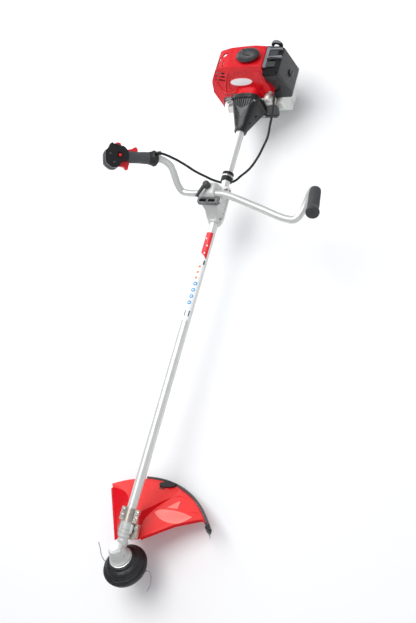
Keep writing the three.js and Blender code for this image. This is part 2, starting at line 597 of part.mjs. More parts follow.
function buildAirFilter() {
  const outline = [[79, 104], [118, 101], [131, 90], [144, -14], [138, -29], [79, -29]];
  const body = slab(outline.slice().reverse(), 1524, COVER_REAR, 5);
  const inside = [[70, 89], [114, 88], [126, 82], [138, -12], [134, -23], [70, -23]];
  const cavity = slab(inside.slice().reverse(), 1532, COVER_REAR - 8);
  const step = block([70, 1520, 95], [150, 1545, 110]);
  const bulbRecess = rod([126, COVER_REAR - 5, -6], [126, COVER_REAR + 5, -6], 11.6, { sides: 16 });
  addPart('air_filter_cover', cut(body, cavity, step, bulbRecess), GREY);
  addPart('choke_lever', join(
    rod([100, 1572, 103], [100, 1572, 108], 6, { sides: 12 }),
    block([80, 1568, 104.5], [120, 1575, 109]),
  ), BLACK);
  const bulb = turned([[0, 0], [11, 0], [11, 3], [8.5, 9], [4, 12], [0, 12.5]], { sides: 14 });
  addPart('primer_bulb', bulb.rotate([-90, 0, 0]).translate([126, COVER_REAR + GAP, -6]), TANK_WHITE);
}

function buildTank() {
  const outline = [
    [-124, TANK_BASE], [88, TANK_BASE], [99, -130], [103, -70], [98, -34], [84, -34], [60, -62],
    [-52, -62], [-76, -42], [-108, -42], [-120, -80], [-128, -130],
  ];
  const body = slab(outline, 1508, 1622, 8);
  const slope = block([-200, -100, -100], [200, 0, 0]).rotate([36, 0, 0]).translate([0, 1508, -78]);
  const neck = rod([-110, 1590, -110], [-135, 1590, -110], 13, { sides: 16 });
  addPart('fuel_tank', join(cut(body, slope), neck), TANK_WHITE);
  const neckRoom = rod([-120, 1590, -110], [-136, 1590, -110], 13 + 2 * GAP, { sides: 16 });
  addPart('fuel_cap', cut(join(
    rod([-129, 1590, -110], [-144, 1590, -110], 17, { sides: 16 }),
    block([-148, 1586, -124], [-143, 1594, -96]),
  ), neckRoom), BLACK);
}

function buildStarter() {
  const outline = [[-92, -34], [-100, 0], [-84, 26], [-40, 36], [40, 36], [66, 30], [76, 0], [70, -34]];
  const housing = slab(outline.slice().reverse(), COVER_REAR + GAP, RECOIL_REAR, 8);
  const ropeGuide = block([62, COVER_REAR + 8, 16], [106, 1654, 56]);
  const cavity = rod([0, 1600, 0], [0, RECOIL_REAR - 6, 0], 33, { sides: 24 });
  addPart('recoil_cover', cut(join(housing, ropeGuide), cavity), BLACK);
  const pulley = turned([[0, 1665], [30, 1665], [30, 1673], [0, 1673]], { axis: 'y' });
  addPart('starter_pulley', pulley, GREY);
  const grip = [[84, 1640, 97], [93, 1642, 103], [103, 1642, 102], [111, 1641, 94], [108, 1640, 76], [94, 1640, 64]];
  addPart('starter_grip', sweep(grip, 6.5, { sides: 10, steps: 12 }), BLACK);
}

buildHead();
buildGuard();
buildShaft();
buildGuardClamp();
buildBracket();
buildHandlebar();
buildBarClamp();
buildControlHandle();
buildShaftFittings();
buildClutch();
buildEngineCore();
buildCover();
buildAirFilter();
buildTank();
buildStarter();

export default tool;
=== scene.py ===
"""The looks of the string trimmer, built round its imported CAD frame. Blender 4.5.

Outlines are in millimetres, in the same design frames as the CAD: the tool frame has its
origin where the shaft axis crosses the head axis, the head frame is tilted to the cutting
head, and the handle frame lies along the throttle handle.
"""
import math

import bmesh
import bpy
from mathutils import Matrix, Vector


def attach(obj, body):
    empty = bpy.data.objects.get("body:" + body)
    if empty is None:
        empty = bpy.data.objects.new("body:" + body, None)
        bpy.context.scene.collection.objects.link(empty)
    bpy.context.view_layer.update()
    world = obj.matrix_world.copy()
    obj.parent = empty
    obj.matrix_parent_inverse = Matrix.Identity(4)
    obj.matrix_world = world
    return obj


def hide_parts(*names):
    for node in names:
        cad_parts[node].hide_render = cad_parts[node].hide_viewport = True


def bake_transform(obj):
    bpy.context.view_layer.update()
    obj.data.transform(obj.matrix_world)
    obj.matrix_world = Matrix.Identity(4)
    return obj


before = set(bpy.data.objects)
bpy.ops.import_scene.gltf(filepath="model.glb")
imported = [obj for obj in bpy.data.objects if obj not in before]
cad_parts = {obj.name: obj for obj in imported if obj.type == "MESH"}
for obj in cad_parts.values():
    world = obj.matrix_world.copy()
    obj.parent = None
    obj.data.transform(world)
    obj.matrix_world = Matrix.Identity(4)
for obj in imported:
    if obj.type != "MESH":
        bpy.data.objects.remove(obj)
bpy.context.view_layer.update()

# ---------------------------------------------------------------- frames and sizes
MM = 0.001
SHIFT = Vector((-77.75, -799.08, 155.0))
HEAD_TILT = math.radians(30)
TUBE_RADIUS = 14
GAP = 0.3  # between parts that are clamped or stacked
BORE_RADIUS = TUBE_RADIUS + GAP
BAR_RADIUS = 11
BAR_Y = 1099
BAR_Z = 78
TOWER_TOP = 60
STUD_Y = 1116
COVER_FRONT = 1502
COVER_REAR = 1624
RECOIL_REAR = 1686
TANK_BASE = -155

TOOL = Matrix.Translation(SHIFT * MM) @ Matrix.Scale(MM, 4)
HEAD = TOOL @ Matrix.Rotation(-HEAD_TILT, 4, "X")

HANDLE_START = Vector((-152, 1161, 182))
HANDLE_WAY = Vector((-0.63, -0.358, 0.689)).normalized()
HANDLE_PALM = HANDLE_WAY.cross(Vector((0.767, -0.148, 0.624))).normalized()
HANDLE_FACE = HANDLE_PALM.cross(HANDLE_WAY)
HANDLE_TURN = Matrix((HANDLE_WAY, HANDLE_FACE, HANDLE_PALM)).transposed().to_4x4()
HANDLE = TOOL @ Matrix.Translation(HANDLE_START) @ HANDLE_TURN

GRIP_FAR = Vector((381, 1082, 146))
GRIP_NEAR = Vector((415, 979, 204))


def in_tool(point):
    """A point of the tool frame, in metres in the row frame."""
    return TOOL @ Vector(point)


# ---------------------------------------------------------------- camera, light and floor
def make_camera():
    data = bpy.data.cameras.new("camera")
    data.lens = 38.83
    camera = bpy.data.objects.new("camera", data)
    right = Vector((0.8614, 0.2611, -0.4357)).normalized()
    back = Vector((0.4969, -0.2557, 0.8293))
    back = (back - right * back.dot(right)).normalized()
    turn = Matrix((right, back.cross(right), back)).transposed().to_4x4()
    camera.matrix_world = Matrix.Translation(in_tool((1082, 217, 1694))) @ turn
    bpy.context.scene.collection.objects.link(camera)
    bpy.context.scene.camera = camera


def make_light(name, place, target, size, power):
    data = bpy.data.lights.new(name, "AREA")
    data.shape = "RECTANGLE"
    data.size, data.size_y = size
    data.energy = power
    light = bpy.data.objects.new(name, data)
    light.location = place
    aim = (Vector(target) - Vector(place)).to_track_quat("-Z", "Y")
    light.rotation_euler = aim.to_euler()
    bpy.context.scene.collection.objects.link(light)


def make_studio():
    world = bpy.data.worlds.new("studio")
    world.use_nodes = True
    background = world.node_tree.nodes["Background"]
    background.inputs["Color"].default_value = (0.93, 0.95, 1.0, 1)
    background.inputs["Strength"].default_value = 0.5
    bpy.context.scene.world = world
    bpy.context.scene.view_settings.view_transform = "Standard"
    make_light("overhead", (-0.6, 0.6, 3.2), (0, 0, 0.1), (2.6, 2.6), 88)
    make_light("front_fill", (1.8, -2.4, 1.6), (0, 0, 0.2), (1.6, 1.6), 9)
    make_light("rim", (-2.2, 1.6, 1.2), (0, 0.6, 0.2), (0.8, 1.8), 14)

    mesh = bpy.data.meshes.new("floor")
    form = bmesh.new()
    bmesh.ops.create_grid(form, x_segments=2, y_segments=2, size=9)
    form.to_mesh(mesh)
    form.free()
    floor = bpy.data.objects.new("floor", mesh)
    bpy.context.scene.collection.objects.link(floor)
    paper = bpy.data.materials.new("floor_paper")
    paper.use_nodes = True
    shader = paper.node_tree.nodes["Principled BSDF"]
    shader.inputs["Base Color"].default_value = (0.92, 0.92, 0.92, 1)
    shader.inputs["Roughness"].default_value = 0.95
    shader.inputs["Specular IOR Level"].default_value = 0.1
    mesh.materials.append(paper)
    floor.location.z = -0.001


make_camera()
make_studio()


# ---------------------------------------------------------------- materials
def ramp(nodes, links, source, low, high, start=0.35, end=0.65):
    """A source value spread from low to high."""
    spread = nodes.new("ShaderNodeMapRange")
    spread.inputs["From Min"].default_value = start
    spread.inputs["From Max"].default_value = end
    spread.inputs["To Min"].default_value = low
    spread.inputs["To Max"].default_value = high
    links.new(source, spread.inputs["Value"])
    return spread.outputs["Result"]


def noise(nodes, links, coords, scale, detail=3, stretch=None):
    """A noise value over the piece, at a scale in features per metre."""
    if stretch:
        mapping = nodes.new("ShaderNodeMapping")
        mapping.inputs["Scale"].default_value = stretch
        links.new(coords, mapping.inputs["Vector"])
        coords = mapping.outputs["Vector"]
    texture = nodes.new("ShaderNodeTexNoise")
    texture.inputs["Scale"].default_value = scale
    texture.inputs["Detail"].default_value = detail
    links.new(coords, texture.inputs["Vector"])
    return texture.outputs["Fac"]


GLOSS_SPREAD = 0.06


def surface(name, color, roughness, metallic=0.0, tint=0.08, grain=900, bump=0.06,
            coat=0.0, wear=0.25, stretch=None, specular=0.5, subsurface=0.0):
    """A moulded, cast or painted surface: soft colour drift, uneven gloss, grain and worn edges."""
    made = bpy.data.materials.new(name)
    made.use_nodes = True
    nodes, links = made.node_tree.nodes, made.node_tree.links
    shader = nodes["Principled BSDF"]
    coords = nodes.new("ShaderNodeTexCoord").outputs["Object"]

    drift = ramp(nodes, links, noise(nodes, links, coords, 28), 0, 1)
    mix = nodes.new("ShaderNodeMix")
    mix.data_type = "RGBA"
    mix.inputs["A"].default_value = (*[c * (1 - tint) for c in color], 1)
    mix.inputs["B"].default_value = (*[min(1, c * (1 + tint)) for c in color], 1)
    links.new(drift, mix.inputs["Factor"])

    edge = nodes.new("ShaderNodeNewGeometry").outputs["Pointiness"]
    worn = ramp(nodes, links, edge, 0, wear, 0.53, 0.62)
    light = nodes.new("ShaderNodeMix")
    light.data_type = "RGBA"
    light.inputs["B"].default_value = (*[min(1, c * 1.6 + 0.05) for c in color], 1)
    links.new(worn, light.inputs["Factor"])
    links.new(mix.outputs["Result"], light.inputs["A"])
    links.new(light.outputs["Result"], shader.inputs["Base Color"])

    gloss = noise(nodes, links, coords, 75, 4, stretch)
    links.new(ramp(nodes, links, gloss, roughness - GLOSS_SPREAD, roughness + GLOSS_SPREAD),
              shader.inputs["Roughness"])
    relief = nodes.new("ShaderNodeBump")
    relief.inputs["Strength"].default_value = bump
    relief.inputs["Distance"].default_value = 0.0006
    links.new(noise(nodes, links, coords, grain, 2, stretch), relief.inputs["Height"])
    links.new(relief.outputs["Normal"], shader.inputs["Normal"])

    shader.inputs["Metallic"].default_value = metallic
    shader.inputs["Specular IOR Level"].default_value = specular
    shader.inputs["Coat Weight"].default_value = coat
    shader.inputs["Coat Roughness"].default_value = 0.12
    shader.inputs["Subsurface Weight"].default_value = subsurface
    shader.inputs["Subsurface Scale"].default_value = 0.01
    return made


RED = surface("red_gloss", (0.64, 0.006, 0.013), 0.26, coat=0.25, specular=0.35, bump=0.02, tint=0.06,
              wear=0.15)
RED_GUARD = surface("red_guard", (0.83, 0.03, 0.028), 0.38, specular=0.35, bump=0.05, grain=350, tint=0.05,
                    wear=0.2)
RED_BUTTON = surface("red_button", (0.74, 0.012, 0.02), 0.34, bump=0.04, grain=1400)
BLACK = surface("black_moulding", (0.010, 0.010, 0.011), 0.38, grain=1600, bump=0.12, wear=0.2,
                specular=0.35)
CHARCOAL = surface("charcoal_moulding", (0.035, 0.036, 0.039), 0.44, grain=1500, bump=0.16, wear=0.2,
                   specular=0.4)
SOFT_GREY = surface("soft_grip", (0.052, 0.053, 0.057), 0.6, grain=2100, bump=0.3, wear=0.1, specular=0.4)
RUBBER = surface("black_rubber", (0.009, 0.009, 0.010), 0.5, grain=1200, bump=0.1, wear=0.1, specular=0.4)
SILVER = surface("silver_paint", (0.62, 0.635, 0.61), 0.34, metallic=0.45, grain=2600, bump=0.03, coat=0.25,
                 tint=0.03, wear=0.2)
CASTING = surface("cast_aluminium", (0.56, 0.565, 0.55), 0.46, metallic=0.3, grain=1100, bump=0.28,
                  tint=0.06, wear=0.5)
BRIGHT_CASTING = surface("machined_aluminium", (0.72, 0.73, 0.72), 0.3, metallic=0.7, grain=700, bump=0.12,
                         tint=0.05, wear=0.5)
STEEL = surface("bright_steel", (0.56, 0.55, 0.53), 0.28, metallic=1.0, grain=900, bump=0.12, wear=0.3,
                stretch=(1, 1, 6))
DARK_STEEL = surface("dark_steel", (0.17, 0.165, 0.16), 0.4, metallic=0.9, grain=900, bump=0.15, wear=0.4)
ZINC = surface("zinc_plate", (0.42, 0.38, 0.33), 0.34, metallic=0.9, grain=500, bump=0.2, tint=0.2, wear=0.4)
TANK_WHITE = surface("tank_plastic", (0.83, 0.845, 0.815), 0.42, grain=500, bump=0.08, tint=0.03, wear=0.1,
                     subsurface=0.35)
NYLON = surface("nylon_line", (0.23, 0.21, 0.24), 0.4, grain=2500, bump=0.05)
WHITE_FILM = surface("white_film", (0.86, 0.87, 0.87), 0.4, bump=0.02, tint=0.02, wear=0)
RED_FILM = surface("red_film", (0.78, 0.02, 0.03), 0.35, bump=0.02, tint=0.05, wear=0)
AMBER_FILM = surface("amber_film", (0.72, 0.22, 0.05), 0.4, bump=0.02, wear=0)
BLUE_FILM = surface("blue_film", (0.03, 0.33, 0.66), 0.4, bump=0.02, wear=0)
# Near-black for the floors of holes, windows and gaps: painted shadow where the light does not reach.
PAINTED_SHADOW = surface("deep_shadow", (0.004, 0.004, 0.004), 0.7, bump=0.05, wear=0)
SEAT_METAL = surface("dark_casting", (0.16, 0.165, 0.17), 0.42, metallic=0.4, grain=900, bump=0.2)
GRIP_GREY = surface("grip_moulding", (0.060, 0.063, 0.068), 0.5, grain=1500, bump=0.16, wear=0.15,
                    specular=0.4)
# A darker copy of the guard red: painted shade for the side faces of the guard. The clip pad uses it too.
RED_GUARD_PAINTED_SHADE = surface("red_guard_painted_shade", (0.66, 0.0, 0.008), 0.36, specular=0.15, bump=0.05, grain=350,
                         tint=0.05, wear=0.15)
# A lighter copy of the guard red: a painted highlight for the raised lens and facet on the guard top.
RED_GUARD_PAINTED_HIGHLIGHT = surface("red_guard_painted_highlight", (0.90, 0.19, 0.16), 0.34, bump=0.05, grain=350, tint=0.05,
                         wear=0.1)
SKIRT_GREY = surface("skirt_grey", (0.075, 0.077, 0.08), 0.5, grain=700, bump=0.2, wear=0.3)
CAP_WHITE = surface("cap_white", (0.82, 0.83, 0.82), 0.3, metallic=0.1, grain=700, bump=0.1, tint=0.03,
                    coat=0.2)
SCALLOP_GREY = surface("scallop_grey", (0.042, 0.044, 0.047), 0.42, grain=900, bump=0.1, wear=0.2)
INK_BLACK = surface("ink_black", (0.0035, 0.0035, 0.004), 0.34, grain=900, bump=0.04, wear=0.1,
                    specular=0.22)
GLOSS_BLACK = surface("gloss_black", (0.009, 0.009, 0.010), 0.3, grain=900, bump=0.06, wear=0.25,
                      specular=0.45)
COOL_GREY = surface("cool_grey", (0.075, 0.078, 0.083), 0.4, grain=900, bump=0.12, wear=0.2)
PALE_GREY = surface("pale_grey", (0.16, 0.17, 0.185), 0.42, grain=900, bump=0.12, wear=0.2)
CAP_GREY = surface("cap_grey", (0.030, 0.031, 0.034), 0.46, grain=1300, bump=0.15, wear=0.3)
BADGE_RIM = surface("badge_rim", (0.78, 0.10, 0.11), 0.3, bump=0.02, wear=0.1)
BRONZE = surface("warm_metal", (0.47, 0.43, 0.39), 0.36, metallic=0.5, grain=600, bump=0.15, tint=0.15)
STAND_GREY = surface("stand_grey", (0.038, 0.04, 0.043), 0.45, grain=800, bump=0.15, wear=0.3)
SHIELD = surface("shield_metal", (0.50, 0.51, 0.51), 0.35, metallic=0.5, grain=600, bump=0.15)


# ---------------------------------------------------------------- mesh building
CORNER_STEPS = 5


def prism(outline, low, high, axis="z"):
    """A flat outline given thickness along one axis: z takes (x, y), y takes (x, z), x takes (y, z)."""
    form = bmesh.new()
    lift = {
        "z": lambda a, b, h: (a, b, h),
        "y": lambda a, b, h: (a, h, b),
        "x": lambda a, b, h: (h, a, b),
    }[axis]
    lower = [form.verts.new(lift(a, b, low)) for a, b in outline]
    upper = [form.verts.new(lift(a, b, high)) for a, b in outline]
    form.faces.new(lower)
    form.faces.new(upper)
    count = len(outline)
    for i in range(count):
        j = (i + 1) % count
        form.faces.new((lower[i], lower[j], upper[j], upper[i]))
    bmesh.ops.recalc_face_normals(form, faces=form.faces)
    return form


def box(low, high):
    return prism([(low[0], low[1]), (high[0], low[1]), (high[0], high[1]), (low[0], high[1])],
                 low[2], high[2])


def skin(rings, closed=False):
    """Rings of equal length joined into one surface, with flat ends unless it is closed."""
    form = bmesh.new()
    made = [[form.verts.new(p) for p in ring] for ring in rings]
    pairs = list(zip(made, made[1:] + made[:1])) if closed else list(zip(made, made[1:]))
    for ring, following in pairs:
        count = len(ring)
        for i in range(count):
            j = (i + 1) % count
            form.faces.new((ring[i], ring[j], following[j], following[i]))
    if not closed:
        form.faces.new(made[0])
        form.faces.new(made[-1])
    bmesh.ops.recalc_face_normals(form, faces=form.faces)
    return form


def turned(profile, sides=64, axis="z", centre=(0, 0, 0)):
    """A solid of revolution from a closed profile of (radius, height)."""
    place = {"z": lambda c, s, r, h: (r * c, r * s, h), "y": lambda c, s, r, h: (r * c, h, r * s),
             "x": lambda c, s, r, h: (h, r * c, r * s)}[axis]
    rings = []
    for i in range(sides):
        angle = 2 * math.pi * i / sides
        ring = [place(math.cos(angle), math.sin(angle), max(r, 0.01), h) for r, h in profile]
        rings.append([Vector(p) + Vector(centre) for p in ring])
    return skin(rings, closed=True)


def smooth_path(points, count):
    """Points evenly spaced along a centripetal Catmull-Rom curve."""
    points = [Vector(p) for p in points]
    ends = [points[0] * 2 - points[1], *points, points[-1] * 2 - points[-2]]
    dense = []
    for a, b, c, d in zip(ends, ends[1:], ends[2:], ends[3:]):
        steps = 24
        knots = [0.0]
        for start, stop in ((a, b), (b, c), (c, d)):
            knots.append(knots[-1] + max((stop - start).length, 1e-6) ** 0.5)
        t0, t1, t2, t3 = knots
        for i in range(steps):
            t = t1 + (t2 - t1) * i / steps
            ab = a * ((t1 - t) / (t1 - t0)) + b * ((t - t0) / (t1 - t0))
            bc = b * ((t2 - t) / (t2 - t1)) + c * ((t - t1) / (t2 - t1))
            cd = c * ((t3 - t) / (t3 - t2)) + d * ((t - t2) / (t3 - t2))
            abc = ab * ((t2 - t) / (t2 - t0)) + bc * ((t - t0) / (t2 - t0))
            bcd = bc * ((t3 - t) / (t3 - t1)) + cd * ((t - t1) / (t3 - t1))
            dense.append(abc * ((t2 - t) / (t2 - t1)) + bcd * ((t - t1) / (t2 - t1)))
    dense.append(points[-1])
    reach = [0.0]
    for a, b in zip(dense, dense[1:]):
        reach.append(reach[-1] + (b - a).length)
    even, k = [], 0
    for i in range(count):
        want = reach[-1] * i / (count - 1)
        while k < len(dense) - 2 and reach[k + 1] < want:
            k += 1
        share = (want - reach[k]) / max(reach[k + 1] - reach[k], 1e-9)
        even.append(dense[k].lerp(dense[k + 1], min(max(share, 0), 1)))
    return even


def sweep(path, radius, sides=32):
    """A round bar along a path. radius is a number, or a function of the share along the path."""
    size = radius if callable(radius) else lambda share: radius
    ways = [(b - a).normalized() for a, b in zip(path, path[1:])]
    ways.append(ways[-1])
    side = ways[0].orthogonal().normalized()
    rings = []
    for i, (point, way) in enumerate(zip(path, ways)):
        mean = (way + ways[max(i - 1, 0)]).normalized()
        side = (side - mean * side.dot(mean)).normalized()
        other = mean.cross(side)
        r = size(i / (len(path) - 1))
        rings.append([point + (side * math.cos(t) + other * math.sin(t)) * r
                      for t in (2 * math.pi * k / sides for k in range(sides))])
    return skin(rings)


def rod(start, end, radius, sides=32):
    return sweep([Vector(start), Vector(end)], radius, sides)


def arc(radius, start, end, count):
    """Points on an arc round the origin, its degrees measured from +Y towards +X."""
    angles = [math.radians(start + (end - start) * i / count) for i in range(count + 1)]
    return [(radius * math.sin(a), radius * math.cos(a)) for a in angles]


def rounded(corners, radius):
    """An outline with its corners rounded."""
    out = []
    count = len(corners)
    for i, corner in enumerate(corners):
        corner = Vector(corner)
        before = Vector(corners[i - 1]) - corner
        after = Vector(corners[(i + 1) % count]) - corner
        reach = min(radius, before.length * 0.45, after.length * 0.45)
        a = corner + before.normalized() * reach
        b = corner + after.normalized() * reach
        for k in range(CORNER_STEPS + 1):
            t = k / CORNER_STEPS
            point = a * (1 - t) ** 2 + corner * 2 * t * (1 - t) + b * t ** 2
            out.append((point.x, point.y))
    return out


def combined(base, others, operation):
    """The result of cutting others out of base, or joining them to it."""
    temporary = []
    for form in [base, *others]:
        mesh = bpy.data.meshes.new("temporary")
        form.to_mesh(mesh)
        temporary.append(bpy.data.objects.new("temporary", mesh))
        bpy.context.scene.collection.objects.link(temporary[-1])
    for other in temporary[1:]:
        modifier = temporary[0].modifiers.new("combine", "BOOLEAN")
        modifier.operation = operation
        modifier.object = other
        modifier.solver = "EXACT"
    result = bmesh.new()
    result.from_object(temporary[0], bpy.context.evaluated_depsgraph_get())
    for made in temporary:
        mesh = made.data
        bpy.data.objects.remove(made)
        bpy.data.meshes.remove(mesh)
    return result


def cut(base, *others):
    return combined(base, others, "DIFFERENCE")


def join(base, *others):
    return combined(base, others, "UNION")


def together(*forms):
    """Several closed shapes kept as one piece."""
    whole = bmesh.new()
    for form in forms:
        mesh = bpy.data.meshes.new("temporary")
        form.to_mesh(mesh)
        whole.from_mesh(mesh)
        bpy.data.meshes.remove(mesh)
    return whole


def moved(form, matrix):
    bmesh.ops.transform(form, matrix=matrix, verts=form.verts)
    return form


def mesh_object(name, form, material, place=TOOL):
    mesh = bpy.data.meshes.new(name)
    form.to_mesh(mesh)
    form.free()
    mesh.transform(place)
    mesh.materials.append(material)
    mesh.shade_smooth()
    made = bpy.data.objects.new(name, mesh)
    bpy.context.scene.collection.objects.link(made)
    return made


def piece(name, form, body, material, place=TOOL, stands_for=(), bevel=0.0, segments=3, sharp=35):
    """Makes a shape an object that rides on a CAD body. bevel is a radius in millimetres."""
    bmesh.ops.remove_doubles(form, verts=form.verts, dist=0.003)
    made = mesh_object(name, form, material, place)
    made.data.set_sharp_from_angle(angle=math.radians(sharp))
    if bevel:
        rounding = made.modifiers.new("rounding", "BEVEL")
        rounding.width = bevel * MM
        rounding.segments = segments
        rounding.limit_method = "ANGLE"
        rounding.angle_limit = math.radians(28)
        rounding.harden_normals = True
        rounding.use_clamp_overlap = True
    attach(made, body)
    if stands_for:
        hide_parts(*stands_for)
    return made


def dense(outline, reach):
    """An outline with its sides split into steps no longer than reach."""
    out = []
    for start, end in zip(outline, outline[1:] + outline[:1]):
        a, b = Vector(start), Vector(end)
        count = max(1, math.ceil((b - a).length / reach))
        out += [tuple(a.lerp(b, i / count)) for i in range(count)]
    return out


def wrap(outline, radius, thickness, layers=6):
    """A thin film laid round a tube along Y. The outline is (length round the tube from the top, y)."""
    outline = dense(outline, 1.6)
    middle = sum((Vector(p) for p in outline), Vector((0, 0))) / len(outline)

    def on_tube(point, r):
        angle = point.x / radius
        return Vector((r * math.sin(angle), point.y, r * math.cos(angle)))

    shares = [max(i / layers, 0.02) for i in range(layers + 1)]
    rings = [[on_tube(middle.lerp(Vector(p), s), radius + thickness) for p in outline] for s in shares]
    rings += [[on_tube(middle.lerp(Vector(p), s), radius) for p in outline] for s in reversed(shares)]
    return skin(rings)


def loft_section(y, half_width, top, bottom, corner, steps=6):
    """A section across Y: square at the bottom and rounded at its two top corners."""
    corner = min(corner, half_width * 0.95, (top - bottom) * 0.95)
    points = [(half_width, bottom)]
    for side in (1, -1):
        for i in range(steps + 1):
            angle = math.radians(90 * i / steps)
            if side < 0:
                angle = math.radians(90) - angle
            points.append((side * (half_width - corner + corner * math.cos(angle)),
                           top - corner + corner * math.sin(angle)))
    points.append((-half_width, bottom))
    return [Vector((x, y, z)) for x, z in points]


def hexagon(radius, low, high):
    angles = [math.radians(60 * k) for k in range(6)]
    return prism([(radius * math.cos(a), radius * math.sin(a)) for a in angles], low, high)


def bolt_head(radius, low, high):
    """A socket bolt on Z, with a round head, a washer and a hexagonal socket."""
    body = turned([(0, low), (radius * 1.35, low), (radius * 1.35, low + 0.9), (radius, low + 1.0),
                   (radius, high - 0.6), (radius - 0.6, high), (0, high)], 28)
    return cut(body, hexagon(radius * 0.5, high - 1.8, high + 1))


def facing(place, way, turn=0.0):
    """A matrix that carries +Z to a direction at a place, in millimetres."""
    rotation = Vector(way).normalized().to_track_quat("Z", "Y").to_matrix().to_4x4()
    return Matrix.Translation(Vector(place)) @ rotation @ Matrix.Rotation(math.radians(turn), 4, "Z")


def bolt_at(radius, height, place, way):
    return moved(bolt_head(radius, 0, height), facing(place, way))


# ---------------------------------------------------------------- trimmer lines
LINE_RADIUS = 1.2
LEFT_LINE = [(-66, -8, -63.5), (-78, -4, -62), (-94, 7, -61), (-107, 21, -60), (-126, 39, -60)]
RIGHT_LINE = [(66, 8, -63.5), (76, 8, -62), (87, 0, -61), (97, -14, -60), (103, -30, -60), (103, -46, -60)]


def trimmer_line(name, route, node):
    """A nylon line that leaves the head and ends cut off."""
    path = [HEAD @ p for p in smooth_path(route, 40)]
    data = bpy.data.curves.new(name, "CURVE")
    data.dimensions = "3D"
    data.bevel_depth = LINE_RADIUS * MM
    data.bevel_resolution = 4
    data.use_fill_caps = True
    spline = data.splines.new("POLY")
    spline.points.add(len(path) - 1)
    for point, place in zip(spline.points, path):
        point.co = (*place, 1)
    data.materials.append(NYLON)
    line = bpy.data.objects.new(name, data)
    bpy.context.scene.collection.objects.link(line)
    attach(line, "cutting_head")
    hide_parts(node)


trimmer_line("line_left", LEFT_LINE, "trimmer_line_left")
trimmer_line("line_right", RIGHT_LINE, "trimmer_line_right")


# ---------------------------------------------------------------- shaft tube and its films
FILM_LIFT = 0.02
MARK_LIFT = 0.12
DOT_LIFT = 0.2


def flat_on_tube(degrees):
    return math.radians(degrees) * TUBE_RADIUS


def disc(centre, radius, count=28):
    return [(centre[0] + radius * math.cos(2 * math.pi * i / count),
             centre[1] + radius * math.sin(2 * math.pi * i / count)) for i in range(count)]


def make_shaft():
    tube = turned([(12.4, 56), (14, 56), (14, 1400), (12.4, 1400)], 72, "y")
    piece("shaft_tube_skin", tube, "frame", SILVER, stands_for=["shaft_tube"])
    edge = flat_on_tube(62)
    band = [(-edge, 997), (edge, 997), (edge, 906), (-edge, 932)]
    piece("band_red", wrap(band, TUBE_RADIUS + FILM_LIFT, 0.12, 14), "frame", RED_FILM)
    strip = [(-edge, 931), (edge, 905), (edge, 700), (-edge, 700)]
    piece("strip_white", wrap(strip, TUBE_RADIUS + FILM_LIFT, 0.1, 14), "frame", WHITE_FILM)
    marks = [wrap(rounded([(-3.6 + s, y - 4), (4.4 + s, y - 4), (4.4 + s, y + 4), (-3.6 + s, y + 4)], 2.5),
                  TUBE_RADIUS + MARK_LIFT, 0.08, 3) for s, y in ((1, 878), (0, 859), (0, 840))]
    piece("marks_amber", together(*marks), "frame", AMBER_FILM)
    marks = [wrap(disc((s, y), 6.6), TUBE_RADIUS + MARK_LIFT, 0.08, 4)
             for s, y in ((3, 820), (2, 799), (2, 778), (1, 757))]
    piece("marks_blue", together(*marks), "frame", BLUE_FILM)
    marks = [wrap(disc((s, y), 2.6, 20), TUBE_RADIUS + DOT_LIFT, 0.06, 2)
             for s, y in ((3, 820), (2, 799), (2, 778), (1, 757), (4, 925), (6, 951), (-3, 975))]
    piece("marks_white", together(*marks), "frame", WHITE_FILM)
    bars = [(12, 893, 2.2, 7), (-3, 722, 1.5, 9), (10, 722, 1.7, 9)]
    marks = [wrap([(s - w, y - h), (s + w, y - h), (s + w, y + h), (s - w, y + h)],
                  TUBE_RADIUS + MARK_LIFT, 0.08, 2) for s, y, w, h in bars]
    piece("marks_black", together(*marks), "frame", BLACK)


make_shaft()


# ---------------------------------------------------------------- bands and harness ring on the shaft
def make_shaft_bands():
    band = turned([(14.3, 1186), (18.2, 1186), (19, 1186.8), (19, 1191), (18.3, 1191.8), (18.3, 1193),
                   (19, 1193.8), (19, 1199), (17.5, 1200), (14.3, 1200)], 64, "y")
    piece("band_front", band, "frame", RUBBER, stands_for=["shaft_band"], bevel=0.3)
    ring = turned([(14.3, 1200.5), (17.4, 1200.5), (18.4, 1201.5), (18.4, 1206), (17.4, 1207), (14.3, 1207)],
                  64, "y")
    loop = sweep([Vector((18.5 * math.sin(a), 1203.7 - 9 * (1 - math.cos(2 * a)) * 0.12, 18.5 * math.cos(a)))
                  for a in (math.radians(d) for d in range(120, 241, 6))], 2.2, 16)
    piece("ring_steel", together(ring, loop), "frame", STEEL, stands_for=["harness_ring"],
          bevel=0.2)
    rear = turned([(14.3, 1207.5), (17.5, 1207.5), (19, 1209), (19, 1212), (18.2, 1212.8), (19, 1213.6),
                   (19, 1216), (18, 1217), (14.3, 1217)], 64, "y")
    clip = box((-13, 1209, -24), (-5, 1216, -15))
    piece("band_rear", together(rear, clip), "frame", RUBBER, stands_for=["shaft_band_rear"],
          bevel=0.4)


make_shaft_bands()


# ---------------------------------------------------------------- throttle conduit
CONDUIT_ROUTE = [
    (-150, 1175.7, 189.4), (-141, 1180.5, 179), (-113, 1180, 150), (-89, 1177, 118), (-73, 1177, 80),
    (-57, 1182, 40), (-45, 1188, 6), (-27, 1194, -19), (0, 1198, -26), (24, 1204, -19), (42, 1211, -8),
    (74, 1234, 2), (97, 1272, 10), (108, 1305, 15), (116, 1340, 18), (114, 1384, 20), (111, 1421, 20),
    (107, 1460, 22), (104, 1498, 34),
]


def make_conduit():
    """The ribbed sleeve of the throttle cable, which bends where the handlebar turns."""
    path = smooth_path(CONDUIT_ROUTE, 520)
    form = sweep(path, lambda share: 3.85 + 0.2 * math.cos(share * 2 * math.pi * 130), 20)
    conduit = mesh_object("conduit", form, RUBBER)
    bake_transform(conduit)
    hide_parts("throttle_conduit")


make_conduit()


